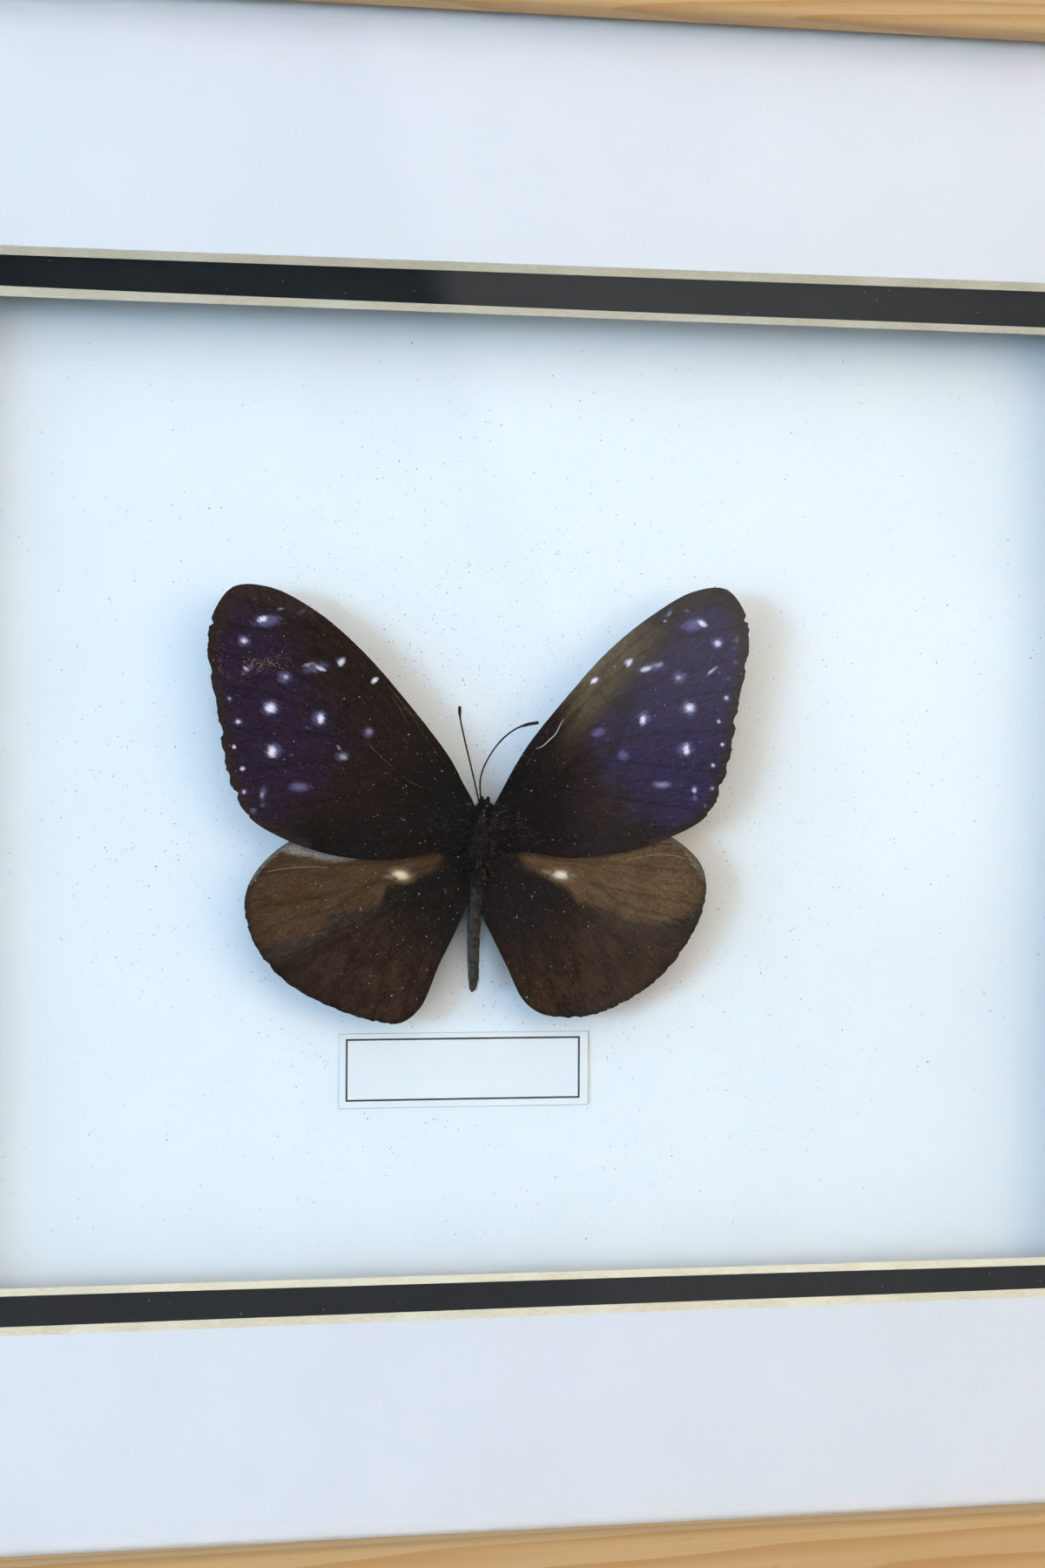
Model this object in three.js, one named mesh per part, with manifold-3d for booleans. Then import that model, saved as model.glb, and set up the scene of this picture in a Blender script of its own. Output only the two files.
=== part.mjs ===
// A framed butterfly specimen: a mitred pine frame that holds glass, two mats, spacers, a mount board and a
// back panel, with a spread butterfly and its label inside.
// Millimetres, +Z up, glass towards -Y, origin under the middle of the frame.
import * as THREE from 'three';
import { mergeVertices } from 'three/addons/utils/BufferGeometryUtils.js';
import Module from 'manifold-3d';

const wasm = await Module();
wasm.setup();

// Frame
const FRAME_WIDTH = 278;
const FRAME_HEIGHT = 240;
const FRAME_DEPTH = 30;
const RAIL_WIDTH = 20;
const LIP_WIDTH = 5;
const LIP_DEPTH = 4.5;
const OUTER_ROUND = 1.6;
const SIGHT_ROUND = 1.1;
const ROUND_STEPS = 3;
const MITRE_GAP = 0.1;

// Stack behind the lip, from the glass to the back panel
const STACK_GAP = 0.3;
const SHEET_CLEARANCE = 0.5;
const GLASS_THICKNESS = 2;
const MAT_THICKNESS = 1;
const SPACER_DEPTH = 8;
const SPACER_WIDTH = 12;
const BOARD_THICKNESS = 3;
const PANEL_THICKNESS = 3;

// Mat windows: the sheets slid down a little in the rabbet, and the black one is a little askew
const WINDOW_WIDTH = 160;
const WINDOW_HEIGHT = 128.3;
const BLACK_REVEAL = 3.85;
const WHITE_WINDOW_DROP = 2.5;
const BLACK_WINDOW_DROP = 3.0;
const WHITE_WINDOW_TURN = -0.055;
const BLACK_WINDOW_TURN = 0.207;

// Framer's tabs and hanger on the back
const TAB_LENGTH = 10;
const TAB_WIDTH = 8;
const TAB_POINT = 4;
const TAB_THICKNESS = 0.5;
const TAB_OFFSET = 60;
const HANGER_LENGTH = 46;
const HANGER_HEIGHT = 8;
const HANGER_THICKNESS = 0.8;
const HANGER_TEETH = 9;
const HANGER_TOOTH_DEPTH = 1.6;
const HANGER_ARCH = 1.6;
const HANGER_FLAT_END = 7;
const HANGER_RAMP = 3;
const HANGER_Z = 208;
const RIVET_RADIUS = 1.8;
const RIVET_HEIGHT = 0.9;

// Specimen: its thorax centre in the frame, and how far its wings stand in front of the mount board
const SPECIMEN_X = -5.7;
const SPECIMEN_Z = 110.7;
const WING_STANDOFF = 5.1;
const WING_LAYER_STEP = 0.65;
const WING_THICKNESS = 0.34;
const WING_EDGE_THICKNESS = 0.22;
const WING_LIFT = 0.6;
const WING_REACH = 37;
const BODY_LEAN = 4.5;
const BODY_X = 0.2;
const BODY_STANDOFF = 3.9;
const PAD_SIZE = 3.2;

// Label
const LABEL_WIDTH = 34.4;
const LABEL_HEIGHT = 10;
const LABEL_THICKNESS = 0.3;
const LABEL_X = -7.4;
const LABEL_Z = 79.1;
const LABEL_TURN = 0.25;

// Depth of each layer's front face along Y, worked out from the front of the frame
const FRONT = -FRAME_DEPTH / 2;
const GLASS_Y = FRONT + LIP_DEPTH + STACK_GAP;
const WHITE_MAT_Y = GLASS_Y + GLASS_THICKNESS + STACK_GAP;
const BLACK_MAT_Y = WHITE_MAT_Y + MAT_THICKNESS + STACK_GAP;
const SPACER_Y = BLACK_MAT_Y + MAT_THICKNESS + STACK_GAP;
const BOARD_Y = SPACER_Y + SPACER_DEPTH + STACK_GAP;
const PANEL_Y = BOARD_Y + BOARD_THICKNESS + STACK_GAP;
const BACK_OF_PANEL = PANEL_Y + PANEL_THICKNESS;

const RABBET_INSET = RAIL_WIDTH - LIP_WIDTH;
const SHEET_WIDTH = FRAME_WIDTH - 2 * RABBET_INSET - 2 * SHEET_CLEARANCE;
const SHEET_HEIGHT = FRAME_HEIGHT - 2 * RABBET_INSET - 2 * SHEET_CLEARANCE;
const FRAME_CENTRE_Z = FRAME_HEIGHT / 2;

const radians = THREE.MathUtils.degToRad;

const finishes = {
  pine: { color: 0xd3a26e, roughness: 0.55, metalness: 0 },
  glass: { color: 0xe8f0f2, roughness: 0.03, metalness: 0 },
  whiteMat: { color: 0xe6ecf0, roughness: 0.9, metalness: 0 },
  blackMat: { color: 0x34383a, roughness: 0.9, metalness: 0 },
  foam: { color: 0xeef0f0, roughness: 0.9, metalness: 0 },
  hardboard: { color: 0x7a5a3c, roughness: 0.8, metalness: 0 },
  steel: { color: 0x9a9b9c, roughness: 0.35, metalness: 1 },
  forewing: { color: 0x2b2530, roughness: 0.8, metalness: 0 },
  hindwing: { color: 0x4a3a2c, roughness: 0.85, metalness: 0 },
  insect: { color: 0x242224, roughness: 0.8, metalness: 0 },
  paper: { color: 0xe7f0f6, roughness: 0.9, metalness: 0 },
};

const specimenCase = new THREE.Group();

function addPiece(name, geometry, finish, place = [0, 0, 0], parent = specimenCase) {
  const mesh = new THREE.Mesh(geometry, new THREE.MeshStandardMaterial(finishes[finish]));
  mesh.name = name;
  mesh.position.set(...place);
  parent.add(mesh);
  return mesh;
}

// A closed mesh from points and triangles, turned so that its faces point out.
function closedMesh(points, triangles) {
  let volume = 0;
  for (let i = 0; i < triangles.length; i += 3) {
    const [a, b, c] = [points[triangles[i]], points[triangles[i + 1]], points[triangles[i + 2]]];
    volume += a.dot(new THREE.Vector3().crossVectors(b, c));
  }
  const geometry = new THREE.BufferGeometry().setFromPoints(points);
  geometry.setIndex(volume < 0 ? triangles.toReversed() : triangles);
  geometry.computeVertexNormals();
  return geometry;
}

// Quads between neighbouring loops that hold the same number of points.
function joinLoops(triangles, first, second, count) {
  for (let i = 0; i < count; i += 1) {
    const next = (i + 1) % count;
    triangles.push(first + i, first + next, second + next);
    triangles.push(first + i, second + next, second + i);
  }
}

// A solid through a row of loops, closed by a point at each end.
function loftedSolid(loops, startPoint, endPoint) {
  const count = loops[0].length;
  const points = [startPoint, ...loops.flat(), endPoint];
  const triangles = [];
  for (let i = 0; i < count; i += 1) {
    const next = (i + 1) % count;
    triangles.push(0, 1 + next, 1 + i);
    const lastLoop = 1 + (loops.length - 1) * count;
    triangles.push(points.length - 1, lastLoop + i, lastLoop + next);
  }
  for (let row = 0; row + 1 < loops.length; row += 1) {
    joinLoops(triangles, 1 + row * count, 1 + (row + 1) * count, count);
  }
  return closedMesh(points, triangles);
}

// A ring through loops whose last one joins the first, such as a board with a window in it.
function ringSolid(loops) {
  const count = loops[0].length;
  const triangles = [];
  for (let row = 0; row < loops.length; row += 1) {
    joinLoops(triangles, row * count, ((row + 1) % loops.length) * count, count);
  }
  return closedMesh(loops.flat(), triangles);
}

function toManifold(geometry) {
  const bare = geometry.clone();
  bare.deleteAttribute('normal');
  bare.deleteAttribute('uv');
  const merged = mergeVertices(bare, 1e-4);
  const vertProperties = new Float32Array(merged.getAttribute('position').array);
  const triVerts = new Uint32Array(merged.index.array);
  return new wasm.Manifold(new wasm.Mesh({ numProp: 3, vertProperties, triVerts }));
}

function joined(geometries) {
  const whole = geometries.map(toManifold).reduce((sum, next) => sum.add(next));
  const { vertProperties, triVerts } = whole.getMesh();
  const geometry = new THREE.BufferGeometry();
  geometry.setAttribute('position', new THREE.BufferAttribute(new Float32Array(vertProperties), 3));
  geometry.setIndex(new THREE.BufferAttribute(new Uint32Array(triVerts), 1));
  geometry.computeVertexNormals();
  return geometry;
}

// The rail's section: inset from the outer edge of the frame against depth.
function railSection() {
  const back = FRAME_DEPTH / 2;
  const shape = new THREE.Shape();
  shape.moveTo(0, back);
  shape.lineTo(0, FRONT + OUTER_ROUND);
  shape.absarc(OUTER_ROUND, FRONT + OUTER_ROUND, OUTER_ROUND, Math.PI, 1.5 * Math.PI, false);
  shape.lineTo(RAIL_WIDTH - SIGHT_ROUND, FRONT);
  shape.absarc(RAIL_WIDTH - SIGHT_ROUND, FRONT + SIGHT_ROUND, SIGHT_ROUND, 1.5 * Math.PI, 2 * Math.PI, false);
  shape.lineTo(RAIL_WIDTH, FRONT + LIP_DEPTH);
  shape.lineTo(RABBET_INSET, FRONT + LIP_DEPTH);
  shape.lineTo(RABBET_INSET, back);
  shape.closePath();
  return shape;
}

// A bottom rail of the given outer length around the frame's centre, with both ends cut at 45 degrees.
function railGeometry(length, height) {
  const settings = { depth: 1, steps: 1, bevelEnabled: false, curveSegments: ROUND_STEPS };
  const geometry = new THREE.ExtrudeGeometry(railSection(), settings);
  const place = geometry.getAttribute('position');
  for (let i = 0; i < place.count; i += 1) {
    const inset = place.getX(i);
    const halfLength = length / 2 - inset - MITRE_GAP;
    const along = place.getZ(i) > 0.5 ? -halfLength : halfLength;
    place.setXYZ(i, along, place.getY(i), inset - height / 2);
  }
  geometry.computeVertexNormals();
  return geometry;
}

function addFrame() {
  const rails = [
    ['rail_bottom', FRAME_WIDTH, FRAME_HEIGHT, 0],
    ['rail_left', FRAME_HEIGHT, FRAME_WIDTH, 90],
    ['rail_top', FRAME_WIDTH, FRAME_HEIGHT, 180],
    ['rail_right', FRAME_HEIGHT, FRAME_WIDTH, 270],
  ];
  for (const [name, length, height, turn] of rails) {
    const rail = addPiece(name, railGeometry(length, height), 'pine', [0, 0, FRAME_CENTRE_Z]);
    rail.rotation.y = radians(turn);
  }
}

// A flat sheet whose front face lies at the given depth.
function addSheet(name, width, height, thickness, frontY, finish, x = 0, z = FRAME_CENTRE_Z) {
  const geometry = new THREE.BoxGeometry(width, thickness, height);
  return addPiece(name, geometry, finish, [x, frontY + thickness / 2, z]);
}

function rectangleLoop(width, height, y, drop = 0, turn = 0) {
  const corners = [[-1, -1], [1, -1], [1, 1], [-1, 1]];
  return corners.map(([side, end]) => {
    const corner = new THREE.Vector3((side * width) / 2, 0, (end * height) / 2);
    corner.applyAxisAngle(new THREE.Vector3(0, 1, 0), radians(turn));
    return corner.add(new THREE.Vector3(0, y, FRAME_CENTRE_Z - drop));
  });
}

// A mat board whose window is cut at 45 degrees, so that it is smaller at the back than at the front.
function matGeometry(windowWidth, windowHeight, frontY, drop, turn) {
  const backY = frontY + MAT_THICKNESS;
  const bevel = 2 * MAT_THICKNESS;
  return ringSolid([
    rectangleLoop(SHEET_WIDTH, SHEET_HEIGHT, frontY),
    rectangleLoop(windowWidth + bevel, windowHeight + bevel, frontY, drop, turn),
    rectangleLoop(windowWidth, windowHeight, backY, drop, turn),
    rectangleLoop(SHEET_WIDTH, SHEET_HEIGHT, backY),
  ]);
}

function addMats() {
  const step = 2 * (BLACK_REVEAL + MAT_THICKNESS);
  const whiteWindow = [WINDOW_WIDTH + step, WINDOW_HEIGHT + step];
  const whiteMat = matGeometry(...whiteWindow, WHITE_MAT_Y, WHITE_WINDOW_DROP, WHITE_WINDOW_TURN);
  addPiece('white_mat', whiteMat, 'whiteMat');
  const blackMat = matGeometry(
    WINDOW_WIDTH, WINDOW_HEIGHT, BLACK_MAT_Y, BLACK_WINDOW_DROP, BLACK_WINDOW_TURN,
  );
  addPiece('black_mat', blackMat, 'blackMat');
}

function addSpacers() {
  const upright = SHEET_HEIGHT - 2 * SPACER_WIDTH - 2 * STACK_GAP;
  const sideX = (SHEET_WIDTH - SPACER_WIDTH) / 2;
  const endZ = (SHEET_HEIGHT - SPACER_WIDTH) / 2;
  const strips = [
    ['spacer_top', SHEET_WIDTH, SPACER_WIDTH, 0, endZ],
    ['spacer_bottom', SHEET_WIDTH, SPACER_WIDTH, 0, -endZ],
    ['spacer_left', SPACER_WIDTH, upright, -sideX, 0],
    ['spacer_right', SPACER_WIDTH, upright, sideX, 0],
  ];
  for (const [name, width, height, x, z] of strips) {
    addSheet(name, width, height, SPACER_DEPTH, SPACER_Y, 'foam', x, FRAME_CENTRE_Z + z);
  }
}

function extruded(shape, thickness) {
  const geometry = new THREE.ExtrudeGeometry(shape, { depth: thickness, steps: 1, bevelEnabled: false });
  return geometry.rotateX(Math.PI / 2);
}

// A pointed tab, foot at the origin and point towards +Z.
function tabGeometry() {
  const shape = new THREE.Shape();
  shape.moveTo(-TAB_WIDTH / 2, 0);
  shape.lineTo(TAB_WIDTH / 2, 0);
  shape.lineTo(TAB_WIDTH / 2, TAB_LENGTH - TAB_POINT);
  shape.lineTo(0, TAB_LENGTH);
  shape.lineTo(-TAB_WIDTH / 2, TAB_LENGTH - TAB_POINT);
  shape.closePath();
  return extruded(shape, TAB_THICKNESS);
}

function addTabs() {
  const y = BACK_OF_PANEL + STACK_GAP + TAB_THICKNESS;
  const sideX = SHEET_WIDTH / 2;
  const endZ = SHEET_HEIGHT / 2;
  const feet = [
    [-TAB_OFFSET, -endZ, 0], [TAB_OFFSET, -endZ, 0],
    [sideX, -TAB_OFFSET, -90], [sideX, TAB_OFFSET, -90],
    [TAB_OFFSET, endZ, 180], [-TAB_OFFSET, endZ, 180],
    [-sideX, TAB_OFFSET, 90], [-sideX, -TAB_OFFSET, 90],
  ];
  feet.forEach(([x, z, turn], i) => {
    const tab = addPiece(`tab_${i + 1}`, tabGeometry(), 'steel', [x, y, FRAME_CENTRE_Z + z]);
    tab.rotation.y = radians(turn);
  });
}

// The hanger's arch away from the panel, from flat ends over short ramps to the toothed middle.
function hangerArch(x) {
  const fromEnd = HANGER_LENGTH / 2 - Math.abs(x);
  return HANGER_ARCH * THREE.MathUtils.clamp((fromEnd - HANGER_FLAT_END) / HANGER_RAMP, 0, 1);
}

// The hanger is lofted from end to end, with saw teeth along the lower edge of its middle.
function hangerGeometry() {
  const halfLength = HANGER_LENGTH / 2;
  const halfHeight = HANGER_HEIGHT / 2;
  const rampStart = halfLength - HANGER_FLAT_END;
  const teethHalf = rampStart - HANGER_RAMP;
  const toothEdges = 2 * HANGER_TEETH;
  const stations = [[-halfLength, 0], [-rampStart, 0]];
  for (let i = 0; i <= toothEdges; i += 1) {
    const cut = i % 2 === 1 ? HANGER_TOOTH_DEPTH : 0;
    stations.push([(2 * i / toothEdges - 1) * teethHalf, cut]);
  }
  stations.push([rampStart, 0], [halfLength, 0]);
  const loops = stations.map(([x, cut]) => {
    const front = hangerArch(x);
    const back = front + HANGER_THICKNESS;
    return [
      new THREE.Vector3(x, front, cut - halfHeight),
      new THREE.Vector3(x, front, halfHeight),
      new THREE.Vector3(x, back, halfHeight),
      new THREE.Vector3(x, back, cut - halfHeight),
    ];
  });
  const end = new THREE.Vector3(halfLength, HANGER_THICKNESS / 2, 0);
  return loftedSolid(loops, new THREE.Vector3(-end.x, end.y, 0), end);
}

function addHanger() {
  const y = BACK_OF_PANEL + STACK_GAP;
  addPiece('hanger', hangerGeometry(), 'steel', [0, y, HANGER_Z]);
  const rivetY = y + HANGER_THICKNESS + STACK_GAP + RIVET_HEIGHT / 2;
  const rivetX = (HANGER_LENGTH - HANGER_FLAT_END) / 2;
  for (const [name, side] of [['hanger_rivet_left', -1], ['hanger_rivet_right', 1]]) {
    const rivet = new THREE.CylinderGeometry(RIVET_RADIUS, RIVET_RADIUS, RIVET_HEIGHT, 16);
    addPiece(name, rivet, 'steel', [side * rivetX, rivetY, HANGER_Z]);
  }
}

// Wing outlines from base to base, as reach from the body against height above the thorax centre.
// The scalloped margin runs from one numbered point to another.
const WINGS = {
  left_forewing: {
    side: -1,
    layer: 0,
    points: [
      [2.4, 7.6], [4.3, 11.2], [10.0, 18.6], [16.3, 25.7], [22.5, 30.9], [28.6, 33.9], [33.4, 33.8],
      [36.3, 29.4], [36.7, 24.2], [35.6, 18.2], [34.8, 12.4], [33.7, 7.6], [31.2, 3.2],
      [25.6, -0.1], [19.4, -2.0], [12.6, -2.5], [6.6, -1.7], [2.4, 0.2],
    ],
    margin: { from: 7, to: 12, waves: 9, depth: 0.34 },
  },
  right_forewing: {
    side: 1,
    layer: 0,
    points: [
      [2.6, 6.0], [6.2, 12.7], [11.6, 19.4], [17.4, 25.8], [23.4, 30.7], [29.4, 34.1], [33.9, 34.4],
      [36.7, 30.6], [37.0, 25.4], [35.8, 19.6], [35.0, 14.4], [33.8, 8.8], [31.2, 3.4],
      [26.1, 0.4], [20.5, -1.4], [12.6, -2.2], [7.0, -1.7], [2.4, 0.2],
    ],
    margin: { from: 7, to: 12, waves: 9, depth: 0.34 },
  },
  left_hindwing: {
    side: -1,
    layer: 1,
    points: [
      [2.3, 0.6], [9.0, 2.2], [17.0, 2.4], [23.4, 1.2], [28.2, -1.7], [31.2, -5.6], [31.8, -9.2],
      [30.4, -13.9], [26.6, -18.6], [20.7, -22.1], [14.7, -24.2], [11.1, -24.6],
      [8.3, -22.6], [5.7, -16.4], [3.5, -11.9], [2.2, -9.0], [1.9, -4.4],
    ],
    margin: { from: 6, to: 11, waves: 9, depth: 0.22 },
  },
  right_hindwing: {
    side: 1,
    layer: 1,
    points: [
      [2.8, 0.6], [9.0, 2.2], [17.0, 2.6], [23.0, 1.9], [27.6, -0.4], [30.6, -3.6], [31.2, -7.6],
      [29.6, -12.4], [25.6, -18.0], [20.0, -22.1], [14.0, -24.1], [8.6, -23.7],
      [5.9, -21.8], [3.6, -17.3], [1.6, -12.7], [1.1, -9.6], [1.6, -5.6], [2.4, -2.4],
    ],
    margin: { from: 6, to: 11, waves: 9, depth: 0.22 },
  },
};
const MARGIN_STEPS = 7;
const EDGE_STEPS = 3;
const WING_RINGS = [0.3, 0.65, 1];

// Points along a wing's edge: a smooth closed curve, drawn in between the crests of the scalloped margin.
function wingEdge({ points, margin }) {
  const control = points.map(([reach, height]) => new THREE.Vector3(reach, 0, height));
  const curve = new THREE.CatmullRomCurve3(control, true, 'centripetal');
  const centre = control.reduce((sum, p) => sum.add(p), new THREE.Vector3()).divideScalar(control.length);
  const edge = [];
  for (let i = 0; i < control.length; i += 1) {
    const scalloped = i >= margin.from && i < margin.to;
    const steps = scalloped ? MARGIN_STEPS : EDGE_STEPS;
    for (let k = 0; k < steps; k += 1) {
      const point = curve.getPoint((i + k / steps) / control.length);
      if (scalloped) {
        const share = (i + k / steps - margin.from) / (margin.to - margin.from);
        const dip = 1 - Math.abs(Math.sin(Math.PI * margin.waves * share));
        const inward = centre.clone().sub(point).normalize();
        point.addScaledVector(inward, margin.depth * dip);
      }
      edge.push(point);
    }
  }
  return { edge, centre };
}

// A wing's front face: the tips stand a little nearer the glass than the base.
function wingFront(reach, layer) {
  return BOARD_Y - WING_STANDOFF + layer * WING_LAYER_STEP - WING_LIFT * (reach / WING_REACH) ** 2;
}

function wingGeometry(wing) {
  const { edge, centre } = wingEdge(wing);
  const surfacePoint = (flat, share, thickness) => {
    const reach = THREE.MathUtils.lerp(centre.x, flat.x, share);
    const height = THREE.MathUtils.lerp(centre.z, flat.z, share);
    return new THREE.Vector3(wing.side * reach, wingFront(reach, wing.layer) + thickness, height);
  };
  const thicknessAt = (share) => (share === 1 ? WING_EDGE_THICKNESS : WING_THICKNESS);
  const front = WING_RINGS.map((share) => edge.map((p) => surfacePoint(p, share, 0)));
  const back = WING_RINGS.map((share) => edge.map((p) => surfacePoint(p, share, thicknessAt(share))));
  const loops = [...front, ...back.reverse()];
  return loftedSolid(loops, surfacePoint(centre, 0, 0), surfacePoint(centre, 0, WING_THICKNESS));
}

// Stations along the body, from the front of the head to the tip of the abdomen:
// distance from the thorax centre, half width and half depth.
const BODY_STATIONS = [
  [5.9, 0.45, 0.4], [5.4, 0.95, 0.85], [4.6, 1.2, 1.1], [3.8, 1.1, 1.15], [2.8, 1.65, 1.9],
  [1.2, 1.95, 2.3], [-0.8, 1.9, 2.3], [-2.6, 1.5, 1.9], [-4.2, 1.15, 1.4], [-7, 1.08, 1.25],
  [-9.8, 0.98, 1.15], [-12.7, 0.82, 0.98], [-16.6, 0.68, 0.8], [-19.4, 0.48, 0.55], [-20.5, 0.24, 0.26],
];
const BODY_TIPS = [6.1, -20.8];
const BODY_SIDES = 14;
const BODY_STEPS = 26;

function bodyGeometry() {
  const stations = BODY_STATIONS.map(([along, width, depth]) => new THREE.Vector3(width, depth, along));
  const curve = new THREE.CatmullRomCurve3(stations, false, 'centripetal');
  const loops = [];
  for (let step = 0; step <= BODY_STEPS; step += 1) {
    const station = curve.getPoint(step / BODY_STEPS);
    const loop = [];
    for (let i = 0; i < BODY_SIDES; i += 1) {
      const angle = (2 * Math.PI * i) / BODY_SIDES;
      loop.push(new THREE.Vector3(station.x * Math.cos(angle), station.y * Math.sin(angle), station.z));
    }
    loops.push(loop);
  }
  const [front, tail] = BODY_TIPS;
  const trunk = loftedSolid(loops, new THREE.Vector3(0, 0, front), new THREE.Vector3(0, 0, tail));
  const knobs = [];
  for (const side of [-1, 1]) {
    const eye = new THREE.SphereGeometry(0.72, 12, 8).scale(0.8, 1, 1);
    knobs.push(eye.translate(side * 0.95, -0.1, 4.7));
    const palp = new THREE.SphereGeometry(0.36, 8, 6).scale(1, 1, 2);
    knobs.push(palp.translate(side * 0.42, 0.25, 6.0));
  }
  return joined([trunk, ...knobs]);
}

// Antennae: points along each, as place across, place along Y from the board, and height.
const ANTENNAE = {
  left_antenna: [
    [-0.35, 4.7, 6.5], [-1.3, 5.0, 9.8], [-2.4, 5.2, 14.0], [-2.95, 5.2, 16.7], [-3.0, 5.1, 18.2],
  ],
  right_antenna: [
    [-0.4, 5.6, 6.5], [-0.1, 5.7, 9.0], [0.9, 5.8, 11.3], [2.7, 5.9, 13.7], [4.5, 6.0, 15.1],
    [6.0, 6.0, 15.7], [7.7, 6.0, 16.0],
  ],
};
const ANTENNA_RADIUS = 0.12;
const CLUB_RADIUS = 0.22;
const CLUB_SHARE = 0.3;
const ANTENNA_SIDES = 6;
const ANTENNA_STEPS = 14;

// A thin round rod along a curve that swells towards its end.
function antennaGeometry(points) {
  const places = points.map(([x, standoff, z]) => new THREE.Vector3(x, BOARD_Y - standoff, z));
  const curve = new THREE.CatmullRomCurve3(places, false, 'centripetal');
  const frames = curve.computeFrenetFrames(ANTENNA_STEPS);
  const loops = [];
  for (let step = 0; step <= ANTENNA_STEPS; step += 1) {
    const share = step / ANTENNA_STEPS;
    const centre = curve.getPointAt(share);
    const swell = THREE.MathUtils.smoothstep(share, 1 - CLUB_SHARE, 1 - CLUB_SHARE / 2);
    const radius = THREE.MathUtils.lerp(ANTENNA_RADIUS, CLUB_RADIUS, swell);
    const loop = [];
    for (let i = 0; i < ANTENNA_SIDES; i += 1) {
      const angle = (2 * Math.PI * i) / ANTENNA_SIDES;
      const spoke = centre.clone();
      spoke.addScaledVector(frames.normals[step], radius * Math.cos(angle));
      spoke.addScaledVector(frames.binormals[step], radius * Math.sin(angle));
      loop.push(spoke);
    }
    loops.push(loop);
  }
  return loftedSolid(loops, curve.getPointAt(0), curve.getPointAt(1));
}

function addSpecimen() {
  const specimen = new THREE.Group();
  specimen.position.set(SPECIMEN_X, 0, SPECIMEN_Z);
  specimenCase.add(specimen);
  for (const [name, wing] of Object.entries(WINGS)) {
    addPiece(name, wingGeometry(wing), wing.layer === 0 ? 'forewing' : 'hindwing', [0, 0, 0], specimen);
  }
  const body = addPiece('body', bodyGeometry(), 'insect', [BODY_X, BOARD_Y - BODY_STANDOFF, 0], specimen);
  body.rotation.y = radians(BODY_LEAN);
  for (const [name, points] of Object.entries(ANTENNAE)) {
    addPiece(name, antennaGeometry(points), 'insect', [0, 0, 0], specimen);
  }
  const thoraxDepth = Math.max(...BODY_STATIONS.map(([, , depth]) => depth));
  const padThickness = BODY_STANDOFF - thoraxDepth - 2 * STACK_GAP;
  const pad = new THREE.BoxGeometry(PAD_SIZE, padThickness, PAD_SIZE);
  addPiece('mounting_pad', pad, 'foam', [0, BOARD_Y - STACK_GAP - padThickness / 2, 0], specimen);
}

function addLabel() {
  const frontY = BOARD_Y - STACK_GAP - LABEL_THICKNESS;
  const label = addSheet(
    'label', LABEL_WIDTH, LABEL_HEIGHT, LABEL_THICKNESS, frontY, 'paper', LABEL_X, LABEL_Z,
  );
  label.rotation.y = radians(LABEL_TURN);
}

addFrame();
addSheet('glass', SHEET_WIDTH, SHEET_HEIGHT, GLASS_THICKNESS, GLASS_Y, 'glass');
addMats();
addSpacers();
addSheet('mount_board', SHEET_WIDTH, SHEET_HEIGHT, BOARD_THICKNESS, BOARD_Y, 'foam');
addSheet('back_panel', SHEET_WIDTH, SHEET_HEIGHT, PANEL_THICKNESS, PANEL_Y, 'hardboard');
addTabs();
addHanger();
addSpecimen();
addLabel();

export default specimenCase;
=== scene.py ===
# The looks of the framed butterfly specimen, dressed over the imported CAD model.
# Metres, +X to the right seen from the front, +Y from the glass to the wall, +Z up.
import math

import bmesh
import bpy
import numpy as np
from mathutils import Euler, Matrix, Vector, geometry


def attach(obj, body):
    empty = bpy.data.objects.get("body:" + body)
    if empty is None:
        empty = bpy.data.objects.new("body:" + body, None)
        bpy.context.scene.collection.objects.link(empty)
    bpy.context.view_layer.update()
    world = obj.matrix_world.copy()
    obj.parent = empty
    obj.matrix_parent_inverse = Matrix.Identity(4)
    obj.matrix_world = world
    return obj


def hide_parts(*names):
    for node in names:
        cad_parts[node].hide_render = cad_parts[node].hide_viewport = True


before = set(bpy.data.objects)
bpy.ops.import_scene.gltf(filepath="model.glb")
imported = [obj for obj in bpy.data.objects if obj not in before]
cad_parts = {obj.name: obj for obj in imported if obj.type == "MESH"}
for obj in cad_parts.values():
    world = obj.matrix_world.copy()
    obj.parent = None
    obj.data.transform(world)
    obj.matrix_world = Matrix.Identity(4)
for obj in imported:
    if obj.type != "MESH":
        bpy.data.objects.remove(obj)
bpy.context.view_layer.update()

MM = 0.001

# Frame and stack, in millimetres, as in the CAD source
FRAME_WIDTH = 278
FRAME_HEIGHT = 240
FRAME_DEPTH = 30
RAIL_WIDTH = 20
LIP_WIDTH = 5
LIP_DEPTH = 4.5
OUTER_ROUND = 1.6
SIGHT_ROUND = 1.1
MITRE_GAP = 0.1
FRAME_CENTRE_Z = FRAME_HEIGHT / 2
FRONT = -FRAME_DEPTH / 2
SHEET_SIZE = (247, 209)
MAT_THICKNESS = 1
BEVEL = 1
WHITE_WINDOW = (169.7, 138)
WHITE_MAT_Y = -7.9
WHITE_WINDOW_Z = 117.5
BLACK_WINDOW = (160, 128.3)
BLACK_MAT_Y = -6.6
BLACK_WINDOW_Z = 117
BOARD_Y = 3
SPECIMEN_X = -5.7
SPECIMEN_Z = 110.7
WING_STANDOFF = 5.1
WING_LAYER_STEP = 0.65
WING_LIFT = 0.6
WING_REACH = 37

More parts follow.
